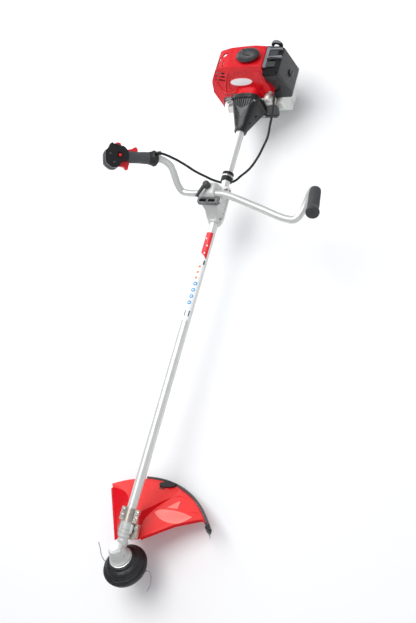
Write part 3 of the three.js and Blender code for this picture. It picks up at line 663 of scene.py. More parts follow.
# ---------------------------------------------------------------- handlebar bracket
def make_bracket():
    bore = rod((0, 1000, 0), (0, 1300, 0), BORE_RADIUS, 64)
    sections = [(1034, 19, 19, 14), (1040, 20.5, 21, 13), (1048, 22, 30, 11), (1062, 24, 43, 9),
                (1072, 30, 58, 6), (1080, 32, TOWER_TOP, 3), (1128, 32, TOWER_TOP, 3), (1133, 29, 44, 5),
                (1138, 26.5, 26, 7), (1150, 26, 17, 6), (1160, 24, 15, 6)]
    tower = skin([loft_section(y, w, top, 0.3, r) for y, w, top, r in sections])
    holes = [rod((x, 1146, 8), (x, 1146, 40), 6.6, 24) for x in (-19.5, 19.5)]
    recess = prism([(1056, 6), (1064, 34), (1076, 50), (1122, 50), (1128, 8)], 29.5, 40, "x")
    stud = rod((0, STUD_Y, 40), (0, STUD_Y, 80), 3.4, 24)
    piece("tower", cut(tower, bore, recess, stud, *holes), "frame", CASTING,
          stands_for=["bracket_tower"], bevel=1.2)
    rib = together(*[box((25.5, y, 6), (31.2, y + 3.4, 44 if y < 1120 else 30)) for y in (1084, 1104)])
    piece("tower_ribs", rib, "frame", CASTING, bevel=0.8)

    sections = [(1034, 19, -19, 12), (1042, 24, -16, 9), (1050, 26, -15, 8), (1150, 26, -15, 8),
                (1160, 22, -15, 8)]
    rings = [[Vector((p.x, p.y, -p.z)) for p in loft_section(y, w, -low, 0.3, r)]
             for y, w, low, r in sections]
    barrel = rod((0, 1030, 0), (0, 1162, 0), 19, 48)
    above = box((-80, 1000, -0.3), (80, 1200, 60))
    piece("tower_base", cut(join(skin(rings), barrel), bore, above), "frame", CASTING,
          stands_for=["bracket_base"], bevel=1.0)

    for name, x in (("bolt_left", 19.5), ("bolt_right", -19.5)):
        bolt = together(moved(bolt_head(4.2, 12.3, 17), Matrix.Translation((x, 1146, 0))),
                        rod((x, 1146, -11), (x, 1146, 12.3), 2.5, 20))
        piece(name, bolt, "frame", DARK_STEEL, stands_for=[f"bracket_{name}"], bevel=0.2)
    side = [(1046, 10), (1128, 10), (1150, 5), (1092, 5), (1068, 5)]
    studs = [bolt_at(2.3, 2.2, (24.5 if y < 1060 else 26, y, z), (1, 0, 0)) for y, z in side]
    studs += [bolt_at(2.4, 2.2, (31.6, y, z), (1, 0, 0)) for y, z in ((1079, 54), (1125, 40))]
    piece("bracket_studs", together(*studs), "frame", DARK_STEEL)


make_bracket()


# ---------------------------------------------------------------- handlebar
def along_handle(distance):
    return HANDLE_START + HANDLE_WAY * distance


def along_grip(share):
    return GRIP_FAR.lerp(GRIP_NEAR, share)


def make_handlebar():
    route = [along_handle(56), along_handle(24), along_handle(-5), (-136, 1163, 163), (-121, 1155, 149),
             (-115, 1142, 132), (-105, 1113, 103), (-94, 1101, 85), (-72, BAR_Y, BAR_Z + 1),
             (-36, BAR_Y, BAR_Z), (0, BAR_Y, BAR_Z), (36, BAR_Y, BAR_Z), (66, 1095, BAR_Z),
             (183, 1056, BAR_Z), (284, 1022, BAR_Z), (312, 1021, 80), (327, 1039, 83), (337, 1063, 90),
             (348, 1087, 104), (358, 1093, 118), (370, 1088, 132), along_grip(0.1), along_grip(0.24),
             along_grip(0.5), along_grip(0.93)]
    piece("bar", sweep(smooth_path(route, 260), BAR_RADIUS, 40), "handlebar", SILVER,
          stands_for=["handlebar"])

    def grip_radius(share):
        flare = 2.6 * max(0.0, (share - 0.86) / 0.14) ** 2
        rib = 0.0 if share < 0.08 or share > 0.86 else 0.28 * math.cos(share * 2 * math.pi * 34)
        ends = 1.2 if share < 0.015 else 0.0
        return 16 + flare + rib - ends
    grip = sweep([along_grip(0.06 + 0.88 * i / 240) for i in range(241)], grip_radius, 48)
    piece("grip_left", cut(grip, rod(along_grip(-0.1), along_grip(0.34), 12.5, 32)), "handlebar", SOFT_GREY,
          stands_for=["left_grip"])
    way = (GRIP_NEAR - GRIP_FAR).normalized()
    end = turned([(0, 0), (18.6, 0), (19, 1.2), (18.6, 4.6), (17, 6.3), (3.4, 6.6), (3.0, 5.9), (0, 5.9)],
                 56)
    piece("grip_cap", moved(end, facing(along_grip(0.945), way)), "handlebar", CHARCOAL,
          stands_for=["left_grip_cap"])


make_handlebar()


# ---------------------------------------------------------------- bar clamp and its lever
def make_bar_clamp():
    bore = rod((-60, BAR_Y, BAR_Z), (60, BAR_Y, BAR_Z), BAR_RADIUS + 0.4, 48)
    stud = rod((0, STUD_Y, 40), (0, STUD_Y, 140), 3.3, 24)
    outline = rounded([(-35, 1068), (35, 1068), (35, 1110), (-35, 1110)], 3)
    seat = prism(outline, TOWER_TOP + GAP, BAR_Z - GAP)
    windows = [box((x - 12, 1071, TOWER_TOP + 4), (x + 12, 1081, BAR_Z + 5)) for x in (-16, 16)]
    groove = box((-40, 1060, TOWER_TOP + 7.5), (40, 1069.2, TOWER_TOP + 9.5))
    piece("seat", cut(seat, bore, stud, groove, *windows), "handlebar", SEAT_METAL,
          stands_for=["bar_clamp_seat"], bevel=1.0)
    # Painted shadow: near-black floors in the seat's two windows.
    floors = [box((x - 11.9, 1071.1, TOWER_TOP + 4), (x + 11.9, 1080.9, TOWER_TOP + 6)) for x in (-16, 16)]
    piece("seat_window_shadows", together(*floors), "handlebar", PAINTED_SHADOW)
    block = prism(rounded([(-31, 1110.4), (31, 1110.4), (29, 1132), (-29, 1132)], 3), TOWER_TOP + GAP,
                  BAR_Z + 4)
    piece("seat_rear", cut(block, bore, stud), "handlebar", CASTING, bevel=1.0)
    screws = [bolt_at(2.5, 2.0, (x, 1068, 70), (0, -1, 0)) for x in (-31, 0, 31)]
    piece("seat_screws", together(*screws), "handlebar", DARK_STEEL)

    rings = [loft_section(y, w, top, BAR_Z + GAP, r, 10) for y, w, top, r in (
        (1084, 25, 86, 7), (1087, 28.5, 90, 10), (1093, 30, 94.5, 14), (1102, 30, 96,
                                                                        15), (1117, 30, 96, 15),
        (1126, 29, 94.5, 14), (1131, 27, 91, 10), (1133, 24, 87, 7))]
    piece("clamp_dome", cut(skin(rings), bore, stud), "handlebar", CASTING,
          stands_for=["bar_clamp_cap"], bevel=0.6)

    hub = turned([(0, 96.3), (11, 96.3), (11.6, 98), (11.2, 108), (10, 113), (7, 116), (0, 116.4)], 40,
                 centre=(0, STUD_Y, 0))
    arm = [Vector((0, STUD_Y, 108)), Vector((-6, STUD_Y - 13, 110.5)), Vector((-13, STUD_Y - 29, 110.5)),
           Vector((-20, STUD_Y - 45, 110))]
    bar = sweep(smooth_path(arm, 30), lambda share: 6.6 - 1.9 * share + 0.6 * max(0, share - 0.85) * 6, 24)
    rod_part = rod((0, STUD_Y, 42), (0, STUD_Y, 98), 3, 24)
    piece("lever", join(hub, bar, rod_part), "clamp_lever", CHARCOAL,
          stands_for=["clamp_lever"], bevel=0.6)


make_bar_clamp()


# ---------------------------------------------------------------- throttle handle
def make_handle():
    casing_side = [(170, 13), (142, 36), (109, 27), (98, 13), (98, -15), (114, -15), (134, -38), (152, -38),
                   (170, -23)]
    casing = prism(rounded(casing_side, 7), -22, 22, "y")
    bore = rod((-20, 0, 0), (60, 0, 0), BAR_RADIUS + 0.8, 40)
    button_slots = [box((90, -8, -60), (128, 8, -2)), box((90, -7, 4), (107, 7, 60)),
                    box((113, -8, 22), (138, 8, 60))]
    casing = cut(casing, *button_slots, box((119, 16, -8), (133, 30, 10)))
    piece("casing", casing, "handlebar", BLACK, HANDLE, stands_for=["control_handle"],
          bevel=2.6, segments=4)
    seam = prism(rounded([(171.0, 13.4), (142.3, 37.0), (108.6, 27.8), (97, 13), (97, -16), (114, -16),
                          (133.8, -39), (152.3, -39), (171.0, -23.3)], 7), -0.5, 0.5, "y")
    inner = prism(rounded([(169, 12), (142, 35), (110, 26), (99, 12.6), (99, -14), (114.6, -14),
                           (134.6, -37), (151.6, -37), (169, -22.6)], 7), -2, 2, "y")
    piece("casing_seam", cut(seam, inner, *button_slots), "handlebar", CHARCOAL, HANDLE)
    bump = prism(rounded([(139, 30), (143, 42), (151, 38), (157, 24)], 3), -9, 9, "y")
    piece("casing_bump", bump, "handlebar", BLACK, HANDLE, bevel=1.5)
    face_plate = prism(rounded([(161, 10), (141, 26), (118, 20), (110, 6), (112, -8), (136, -28), (149, -28),
                                (161, -18)], 5), 21.5, 22.5, "y")
    piece("casing_face", cut(face_plate, box((117, 16, -10), (135, 30, 12))), "handlebar", BLACK,
          HANDLE, bevel=0.4)
    screws = [bolt_at(2.2, 0.9, (x, 22.3, z), (0, 1, 0)) for x, z in ((155, 4), (144, -22))]
    piece("casing_screws", together(*screws), "handlebar", DARK_STEEL, HANDLE)

    def grip_radius(share):
        waist = 1.2 * math.sin(math.pi * share) ** 2
        return 19.0 - waist
    grip = sweep([Vector((30.3 + 70 * i / 40, 0, 0)) for i in range(41)], grip_radius, 48)
    slot = box((62, -7, 4), (107, 7, 60))
    piece("grip_right", cut(grip, bore, slot), "handlebar", GRIP_GREY, HANDLE, bevel=0.6)

    profile = [(11.8, 0), (15.2, 0), (16.5, 1.2), (22, 5), (25, 12), (24.4, 16), (21.5, 21), (19.8, 30),
               (11.8, 30)]
    collar = turned(profile, 14, "x")
    recess = rod((11, 0, 30), (11, 0, 17), 4.6, 24)
    recess = moved(recess, Matrix.Rotation(math.radians(-72), 4, "X"))
    cable = rod((-5, 4, 17), (40, 4, 17), 4.6, 24)
    piece("collar", cut(collar, recess, cable), "handlebar", RUBBER, HANDLE,
          stands_for=["control_collar"], bevel=1.2, sharp=20)
    nut = moved(turned([(0, 0), (6.0, 0), (6.4, 2), (5.6, 9), (4.4, 12), (0, 12)], 12, "x"),
                Matrix.Translation((-10, 4, 17)))
    piece("conduit_nut", nut, "handlebar", RUBBER, HANDLE, bevel=0.3)

    trigger = prism(rounded([(124, -14), (98, -14), (93, -20), (99, -41), (107, -40), (110, -33),
                             (126, -31)], 2.5),
                    -7, 7, "y")
    piece("trigger", trigger, "throttle_trigger", RED_BUTTON, HANDLE,
          stands_for=["throttle_trigger"], bevel=1.4)
    lock = prism(rounded([(105, 14), (66, 14), (65, 25), (70, 32), (77, 29), (84, 24.5), (105, 20)], 2.5),
                 -6, 6, "y")
    piece("lockout", lock, "lockout_lever", RED_BUTTON, HANDLE, stands_for=["lockout_lever"],
          bevel=1.2)
    button = prism(rounded([(115, 25), (136, 25), (135, 40), (127, 42.5), (119, 41)], 2.5), -7, 7, "y")
    piece("lock_button", button, "throttle_lock_button", RED_BUTTON, HANDLE,
          stands_for=["throttle_lock_button"], bevel=1.4)
    slider = join(box((121, 17, -4), (128, 24, 5)), box((121, 23, -1.4), (128, 25.4, 2.4)))
    piece("slider", slider, "stop_switch", RED_BUTTON, HANDLE, stands_for=["stop_switch"],
          bevel=0.6)


make_handle()


# ---------------------------------------------------------------- guard
GUARD_RADIUS = 258
SKIRT_OUTER = 266
GUARD_WALL = 3.0


def sheet_from(rows, thickness, drop=(0, 0, -1)):
    """A curved plate from rows of points, given thickness along one direction."""
    form = bmesh.new()
    fall = Vector(drop) * thickness
    top = [[form.verts.new(p) for p in row] for row in rows]
    low = [[form.verts.new(Vector(p) + fall) for p in row] for row in rows]
    height, width = len(rows), len(rows[0])
    for i in range(height - 1):
        for j in range(width - 1):
            form.faces.new((top[i][j], top[i][j + 1], top[i + 1][j + 1], top[i + 1][j]))
            form.faces.new((low[i][j], low[i + 1][j], low[i + 1][j + 1], low[i][j + 1]))
    for i in range(height - 1):
        form.faces.new((top[i][0], top[i + 1][0], low[i + 1][0], low[i][0]))
        form.faces.new((top[i][-1], low[i][-1], low[i + 1][-1], top[i + 1][-1]))
    for j in range(width - 1):
        form.faces.new((top[0][j], low[0][j], low[0][j + 1], top[0][j + 1]))
        form.faces.new((top[-1][j], top[-1][j + 1], low[-1][j + 1], low[-1][j]))
    bmesh.ops.recalc_face_normals(form, faces=form.faces)
    return form


def along(points, count):
    """Points evenly spaced along a path of straight lines."""
    points = [Vector(p) for p in points]
    reach = [0.0]
    for a, b in zip(points, points[1:]):
        reach.append(reach[-1] + (b - a).length)
    out, k = [], 0
    for i in range(count):
        want = reach[-1] * i / (count - 1)
        while k < len(points) - 2 and reach[k + 1] < want:
            k += 1
        out.append(points[k].lerp(points[k + 1], (want - reach[k]) / (reach[k + 1] - reach[k])))
    return out


def between(first, second, rows, crown=0.0):
    """Rows between two equal paths, bulging upwards by crown in the middle."""
    return [[a.lerp(b, i / rows) + Vector((0, 0, crown * math.sin(math.pi * i / rows)))
             for a, b in zip(first, second)]
            for i in range(rows + 1)]


def rim_path(start, end, count, radius=GUARD_RADIUS, level=0.0):
    return [Vector((x, y, level)) for x, y in arc(radius, start, end, count - 1)]


def make_guard():
    # The ridge round the shaft, from its left edge at the rim to its foot by the clamp.
    left_rim = Vector((-151, 192, 0))
    shoulder = smooth_path([left_rim, (-105, 188, 8), (-74, 172, 13), (-60, 155, 14)], 12)
    crest = [*shoulder, Vector((-50, 151, 14)), Vector((-6, 131, 14)), Vector((24, 172, 8)),
             Vector((57, 217, 0))]
    crown = between(along(crest, 40), rim_path(-38, 14.2, 40), 8, 1.5)
    channel = between(along([(-60, 155, 14), (-24, 38, 14)], 12),
                      along([(-6, 131, 14), (30, 50, 14)], 12), 6)
    cheek_top = along([*shoulder, (-24, 38, 14)], 24)
    cheek_low = along([(-153, 188, -4), (-48, 52, -20)], 24)
    cheek = between(cheek_top, cheek_low, 6)
    lip = between(along([(-152, 190, -2), (-46, 50, -18)], 12),
                  along([(-160, 190, -9), (-56, 46, -24)], 12), 2)
    foot = [(57, 217, 0), (38, 190, 0), (24, 161, 0), (13, 123, 0), (17, 91, 0), (27, 58, 0)]
    wall_top = along([(57, 217, 0), (24, 172, 8), (-6, 131, 14), (8, 98, 14), (30, 50, 14)], 24)
    wall = between(wall_top, along(foot, 24), 4)
    fan_edge = [(27, 58, 0), (34, 64, 0), (113, 134, 0), (182, 174, 0), (196.2, 167.6, 0)]
    plate_low = along([*foot[::-1][:1], *fan_edge[1:]], 36)
    plate_high = [*along(foot[::-1], 22), *rim_path(14.2, 49.5, 14)]
    plate = between(plate_low, plate_high, 10)
    skirt = between(rim_path(-38, 49.5, 60), rim_path(-38, 49.5, 60, level=-22), 3)
    low_edge = along(fan_edge[1:], 30)
    fold = between(low_edge, [p + Vector((0.6, -1.5, -8)) for p in low_edge], 2)
    top = together(sheet_from(crown, GUARD_WALL), sheet_from(channel, GUARD_WALL),
                   sheet_from(plate, GUARD_WALL))
    # The side faces take the darker copy of the guard red: painted shade where they turn away from the
    # light.
    sides = together(
        sheet_from(cheek, 2.6, (0.77, -0.6, -0.2)), sheet_from(lip, 2.4, (0.5, -0.4, -0.77)),
        sheet_from(wall, 2.4, (-0.8, -0.3, -0.5)), sheet_from(skirt, GUARD_WALL, (-0.35, -0.94, 0)),
        sheet_from(fold, 2.4, (-0.5, 0.85, 0)),
    )
    piece("guard_top", top, "frame", RED_GUARD, HEAD, stands_for=["guard"], bevel=0.5, sharp=24)
    piece("guard_sides", sides, "frame", RED_GUARD_PAINTED_SHADE, HEAD, bevel=0.5, sharp=24)

    # The raised lens and the small facet take the lighter guard red: a painted highlight where they face the
    # light.
    lens_low = smooth_path([(30, 152, 0.2), (52, 140, 0.2), (84, 134, 0.2), (120, 141, 0.2),
                            (151, 172, 0.2)], 30)
    lens_high = smooth_path([(30, 152, 0.2), (42, 164, 1.2), (76, 172, 3.4), (112, 175, 3.0),
                             (151, 172, 0.2)], 30)
    piece("guard_lens", sheet_from(between(lens_low, lens_high, 8, 0.6), 1.5), "frame", RED_GUARD_PAINTED_HIGHLIGHT,
          HEAD, bevel=0.3)
    facet = sheet_from(between(along([(60, 178, 0.2), (93, 184, 0.2)], 8),
                               along([(86, 206, 3), (92, 207, 3)], 8), 4),
                       1.5)
    piece("guard_facet", facet, "frame", RED_GUARD_PAINTED_HIGHLIGHT, HEAD)
    ridges = [sweep(smooth_path(path, 24), lambda share: 0.5 + 1.8 * math.sin(math.pi * share), 12)
              for path in (
        [(58, 216, 0), (80, 226, 0.2), (112, 222, 0)],
        [(128, 184, -0.4), (152, 190, 0.4), (172, 183, -0.4)],
    )]
    piece("guard_ridges", together(*ridges), "frame", RED_GUARD, HEAD)


def make_guard_skirt():
    strip = between(rim_path(-13, 52, 60, SKIRT_OUTER, 1), rim_path(-13, 52, 60, SKIRT_OUTER, -25), 2)
    inner_lip = between(rim_path(-13, 52, 60, GUARD_RADIUS + 0.6, 1),
                        rim_path(-13, 52, 60, SKIRT_OUTER, 1), 2)
    bead = sweep(rim_path(-13, 52, 90, SKIRT_OUTER - 3.2, 2.0), 2.2, 14)
    wall = sheet_from(strip, 3.0, (-0.35, -0.94, 0))
    clip = prism(rounded([(-5, 246), (1, 235), (24, 238), (47, 246), (50, 259), (20, 261)], 3), 0.5, 7)
    teeth = [prism([(x - 2, 225 + k), (x + 2, 225 + k), (x + 2.4, 238 + k), (x - 2.4, 238 + k)], 0.6, 4.4)
             for k, x in enumerate((5, 11.5, 18))]
    piece("skirt", together(wall, sheet_from(inner_lip, 2.2), bead), "frame", SKIRT_GREY,
          HEAD, stands_for=["guard_skirt"], bevel=0.4)
    piece("skirt_clip", together(clip, *teeth), "frame", BLACK, HEAD, bevel=0.7)
    pad = prism(rounded([(11, 224), (38, 217), (42, 246), (14, 248)], 9), 0.3, 2.6)
    piece("clip_pad", pad, "frame", RED_GUARD_PAINTED_SHADE, HEAD, bevel=0.8)

    (x, y), = arc(GUARD_RADIUS + 3, 53, 53, 1)[:1]
    foot = rounded([(x - 9, y + 10), (x + 6, y + 6), (x + 10, y - 9), (x - 4, y - 8)], 3)
    toe = rounded([(x + 4, y - 2), (x + 14, y - 4), (x + 13, y - 8), (x + 5, y - 9)], 1.5)
    holder = join(prism(foot, -20, 4), prism(toe, -8, -2))
    piece("cutter_holder", holder, "frame", BLACK, HEAD, bevel=1.0)
    blade = prism([(x - 5, y), (x + 5, y - 3), (x + 17, y - 24), (x + 15.5, y - 24), (x + 4, y - 12)],
                  -19.5, -18)
    piece("cutter_blade", blade, "frame", STEEL, HEAD, stands_for=["line_cutter"], bevel=0.3)


def make_guard_clamp():
    bore = rod((0, 60, 0), (0, 150, 0), BORE_RADIUS, 64)
    for name, sign in (("upper", 1), ("lower", -1)):
        barrel = rod((0, 91, 0), (0, 128, 0), 17.5, 64)
        tab = box((-30, 91, 0.4), (30, 128, 5)) if sign > 0 else box((-30, 91, -5), (30, 128, -0.4))
        away = box((-60, 60, -60), (60, 150, 0.4)) if sign > 0 else box((-60, 60, -0.4), (60, 150, 60))
        relief = [box((s * 24 - 8, 104, -9), (s * 24 + 8, 115, 9)) for s in (1, -1)] if sign < 0 else []
        piece(f"guard_clamp_{name}_plate", cut(join(barrel, tab), bore, away, *relief), "frame", ZINC,
              stands_for=[f"guard_clamp_{name}"], bevel=1.0)
    bolts = [bolt_at(4.6, 4.6, (x, y, 5), (0, 0, 1)) for x, y in ((-23, 102), (-23, 118),
                                                                                     (23, 102), (23, 118))]
    piece("clamp_bolts", together(*bolts), "frame", STEEL, bevel=0.2)
    arms = []
    for s in (-1, 1):
        outline = rounded([(s * 14, 91), (s * 30, 91), (s * 33, 70), (s * 29, 46), (s * 16, 44),
                           (s * 13, 66)], 3)
        arms.append(prism(outline, -12, -8.5))
        arms.append(box((min(s * 27, s * 31), 52, -24), (max(s * 27, s * 31), 90, -9)))
    piece("clamp_arms", together(*arms), "frame", ZINC, bevel=0.8)
    bolts = [bolt_at(4.2, 4.2, (x, y, -8.5), (0, 0, 1)) for x, y in ((-24, 60), (24, 78))]
    piece("arm_bolts", together(*bolts), "frame", STEEL, bevel=0.2)


make_guard()
make_guard_skirt()
make_guard_clamp()


# ---------------------------------------------------------------- gear case and line head
def make_gear_case():
    profile = [(0, -13), (30, -13), (31, -12), (31, -9.5), (27, -7), (25.6, -5), (25, -3), (25, 3),
               (24.4, 3.8), (24.4, 5.2), (25, 6), (25, 10), (23.8, 18), (22.6, 22.6), (20.8, 24.4), (20, 26),
               (20, 30.4), (18.6, 31.6), (0, 31.6)]
    body = turned(profile, 80)
    way = Vector((0, math.cos(HEAD_TILT), math.sin(HEAD_TILT)))
    neck = sweep([way * d for d in (2, 30, 34, 36, 40, 42, 46, 50)],
                 lambda share: 13.6 if share < 0.4 or 0.7 < share < 0.85 else 14.4, 56)
    socket = sweep([way * d for d in (46, 48, 54, 55, 57, 58, 66, 67, 69, 70, 86, 88)],
                   lambda share: {0.0: 14.5}.get(share,
                                                 15.7 if 0.3 < share < 0.4 or 0.65 < share < 0.75 else 17.2),
                   56)
    bore = rod(way * 56, way * 99, BORE_RADIUS, 56)
    lugs = [rod(Vector((x, 0, 0)) + way * 62, Vector((x, 0, 0)) + way * 85, 4.4, 28) for x in (-17, 17)]
    webs = [box((-2.4, 8, -10), (2.4, 44, -4))]
    piece("gear_case_body", cut(join(body, neck, socket, *lugs, *webs), bore), "frame", CASTING,
          HEAD, stands_for=["gear_case"], bevel=0.5)
    cap = turned([(0, 31.6), (17.0, 31.6), (17.4, 32.2), (17.4, 35), (16.8, 35.8), (15.6, 36), (15.4, 36.6),
                  (15.4, 39.4), (14.6, 41), (13, 41.6), (0, 41.6)], 72)
    piece("gear_case_top", cap, "frame", CAP_WHITE, HEAD, bevel=0.3)
    bolts = [bolt_at(2.6, 2.4, (x, *(way * 85).yz), way) for x in (-17, 17)]
    side = bolt_at(3.2, 2.6, (24.6, -4, 8), (1, -0.15, 0.1))
    plug = bolt_at(3.6, 2.8, (-20, -15, 6), (-0.8, -0.6, 0.1))
    piece("gear_case_bolts", together(*bolts, side, plug), "frame", STEEL, HEAD)
    flange = turned([(5.3, -20), (30, -20), (33, -17.5), (33, -15.8), (31.4, -15), (22, -14), (5.3, -14)],
                    72)
    piece("flange", flange, "cutting_head", BRIGHT_CASTING, HEAD,
          stands_for=["head_flange"], bevel=0.3)


def ring_of(count, make):
    return [moved(make(), Matrix.Rotation(2 * math.pi * k / count, 4, "Z")) for k in range(count)]


def make_line_head():
    profile = [(5.3, -24), (33, -24.5), (45, -36), (49, -41), (59, -49), (61.5, -55), (61.5, -60), (65, -60),
               (65.4, -59), (65.4, -55), (64.4, -53.6), (62.8, -52.8), (62.4, -50.5), (60.8, -48.6),
               (57, -46.6), (55.6, -45.8), (55, -43.8), (53.4, -42.4), (51.6, -41.4), (51.2, -38),
               (50.2, -36.4), (48.4, -35), (46.6, -33.8), (46, -32.2), (44.4, -31.2), (40, -29.6),
               (38, -28.8), (37.2, -27.4), (36.6, -23.6), (35.4, -21.6), (33.6, -20.8), (5.3, -20.3)]
    housing = turned(profile, 112)
    dots = ring_of(9, lambda: rod((42.4, 0, -38), (42.4, 0, -24), 2.0, 18))
    slots = ring_of(3, lambda: box((52, -9, -47.4), (63, 9, -44)))
    notches = ring_of(24, lambda: rod((66.6, 0, -62), (66.6, 0, -52), 2.2, 12))
    turn = Matrix.Rotation(math.radians(-83), 4, "Z")
    cuts = [moved(form, turn) for form in (*dots, *slots, *notches)]
    piece("head_shell", cut(housing, *cuts), "cutting_head", BLACK, HEAD,
          stands_for=["head_housing"], bevel=0.35)
    # Painted shadow: near-black floors in the head's dimples and slots.
    floors = together(*[moved(form, turn) for form in (
        *ring_of(9, lambda: rod((42.4, 0, -34.6), (42.4, 0, -33.4), 2.1, 18)),
        *ring_of(3, lambda: box((54, -9.2, -47.6), (56.5, 9.2, -44))))])
    piece("head_hole_shadows", floors, "cutting_head", PAINTED_SHADOW, HEAD)
    eyelets = [moved(turned([(1.5, 0), (3.4, 0), (3.8, 0.8), (3.4, 1.8), (1.5, 1.8)], 28),
                     facing((s * 63.4, s * 7.6, -63.4), (s, s * 0.1, 0))) for s in (1, -1)]
    piece("head_eyelets", together(*eyelets), "cutting_head", DARK_STEEL, HEAD, bevel=0.2)

    base = turned([(22, -76), (49, -75.2), (51, -74.6), (60, -70.8), (61.6, -69.4), (63.4, -65),
                   (63.4, -60.3), (58, -60.3), (57, -66), (48, -71), (22, -72)], 112)
    grooves = ring_of(16, lambda: rod((48, 0, -78.4), (62, 0, -73), 2.2, 14))
    outlet = rod((-70, 0, -63.5), (70, 0, -63.5), 2.4, 20)
    piece("head_cover", cut(base, outlet, *grooves), "cutting_head", BLACK, HEAD,
          stands_for=["head_base"], bevel=0.35)
    knob = turned([(0, -88), (11, -88), (13, -87.6), (19, -85.4), (20.6, -84), (21.5, -81), (21.5, -77),
                   (20, -76), (0, -76)], 64)
    ribs = ring_of(12, lambda: rod((22.2, 0, -89), (22.2, 0, -75), 1.5, 12))
    piece("knob", cut(knob, *ribs), "bump_knob", BLACK, HEAD, stands_for=["bump_knob"],
          bevel=0.3)
    spool = turned([(8, -70), (46, -70), (46, -68.4), (20.6, -67), (20, -66), (20, -45), (20.6, -44),
                    (40, -42.8), (40, -41), (8, -41)], 64)
    wound = turned([(20.2, -65), (35, -65), (36, -63), (36, -46), (35, -45), (20.2, -45)], 64)
    piece("spool", spool, "line_spool", CHARCOAL, HEAD, stands_for=["line_spool"], bevel=0.3)
    piece("spool_line", wound, "line_spool", NYLON, HEAD)


make_gear_case()
make_line_head()


# ---------------------------------------------------------------- clutch housing
CONE_START = 1383
CONE_END = 1472
CONE_START_RADIUS = 22
CONE_END_SHARE = 0.92
PATCH_DEPTH = 2.0
ARCH = rounded([(-50, -50), (-50, 34), (-34, 49), (0, 52.5), (32, 50), (46, 42), (54, 18), (51, -52)], 10)


def arch_reach(angle):
    """How far the clutch flange reaches from the shaft axis.

    The angle is measured from the top towards the left hand.
    """
    way = Vector((math.sin(angle), math.cos(angle)))
    reach = 0
    for start, end in zip(ARCH, ARCH[1:] + ARCH[:1]):
        start, side = Vector(start), Vector(end) - Vector(start)
        across = way.x * side.y - way.y * side.x
        if abs(across) < 1e-6:
            continue
        distance = (start.x * side.y - start.y * side.x) / across
        share = (start.x * way.y - start.y * way.x) / across
        if distance > 0 and -0.001 <= share <= 1.001:
            reach = max(reach, distance)
    return reach


def cone_radius(angle, y):
    """The clutch housing runs from a circle at its small end to the arch of its flange."""
    share = (y - CONE_START) / (CONE_END - CONE_START)
    return CONE_START_RADIUS + (CONE_END_SHARE * arch_reach(angle) - CONE_START_RADIUS) * share


def on_cone(degrees, y, lift=0.0):
    """A point on the clutch housing, its angle measured from the top towards the left hand."""
    angle = math.radians(degrees)
    r = cone_radius(angle, y) + lift
    return Vector((r * math.sin(angle), y, r * math.cos(angle)))


def cone_patch(edge, lift):
    """A patch on the clutch housing. edge gives (y, first angle, last angle)."""
    rows = [[on_cone(a + (b - a) * i / 14, y, lift) for i in range(15)] for y, a, b in edge]
    return sheet_from(rows, PATCH_DEPTH, (-0.3, 0, -0.95))


def make_clutch_housing():
    sides = 120
    outer = skin([[on_cone(360 * k / sides, y) for k in range(sides)] for y in (1382, 1412, 1442, 1474)])
    collar = turned([(0, 1371), (19.6, 1371), (20.5, 1371.8), (20.5, 1376), (21.4, 1377), (22, 1383),
                     (25, 1392), (0, 1392)], 64, "y")
    step = skin([[Vector((x * scale, y, z * scale)) for x, z in ARCH]
                 for y, scale in ((1466, 0.88), (1472, 0.93), (1474.6, 1.03), (1488, 1.04))])
    room = turned([(0, 1420), (28, 1425), (41, 1457), (42.4, 1478), (42.4, 1492), (0, 1492)], 64, "y")
    bore = rod((0, 1360, 0), (0, 1430, 0), BORE_RADIUS, 64)
    hole = rod(on_cone(80, 1402, 6), on_cone(80, 1402, -2), 3.6, 24)
    pocket = rod(on_cone(100, 1436, 6), on_cone(100, 1436, -2), 5, 24)
    body = cut(join(outer, collar, step), room, bore, hole, pocket)
    piece("clutch_cone", body, "frame", GLOSS_BLACK, stands_for=["clutch_housing"],
          bevel=1.2, sharp=18)
    # A black ring that closes the gap between the clutch flange and the cover. Its black is painted shadow
    # between the two.
    seal = skin([[Vector((x * scale, y, z * scale)) for x, z in ARCH]
                 for y, scale in ((1487.6, 0.97), (1492, 0.93))])
    piece("clutch_gap_shadow_ring", cut(seal, rod((0, 1480, 0), (0, 1520, 0), 42.4, 64)), "frame", GLOSS_BLACK,
          bevel=0.8)
    places = (-44, 47, 138, 226)
    ears = [rod(on_cone(a, 1468, 3), on_cone(a, 1468, 3) + Vector((0, 14, 0)), 6.4, 32) for a in places]
    piece("clutch_ears", together(*ears), "frame", GLOSS_BLACK, bevel=1.0)
    screws = [bolt_at(3.6, 3.6, on_cone(a, 1468, 3), (0, -1, 0)) for a in places]
    piece("clutch_screws", together(*screws), "frame", STEEL)
    patch = cone_patch([(1470, -36, 46), (1460, -33, 42), (1449, -26, 34), (1437, -17, 26), (1425, -7, 17),
                        (1414, 2, 9)], 0.7)
    piece("clutch_scallop", patch, "frame", COOL_GREY, bevel=0.6)
    ribs = []
    for k in range(8):
        angle = -28 + 9 * k
        low = 1452 - 10 * math.cos(math.radians((k - 3.5) * 26))
        path = [on_cone(angle * 0.92 + 1, low, 0.4), on_cone(angle, low + 6, 2.6), on_cone(angle, 1466, 3.6),
                on_cone(angle, 1476, 4.0)]
        ribs.append(sweep(smooth_path(path, 14), 1.5, 12))
    piece("clutch_ribs", together(*ribs), "frame", GLOSS_BLACK)
    middle = cone_patch([(1410, 4, 34), (1400, 2, 35), (1386, 0, 36)], 0.5)
    piece("clutch_facet", middle, "frame", SCALLOP_GREY, bevel=0.5)


make_clutch_housing()


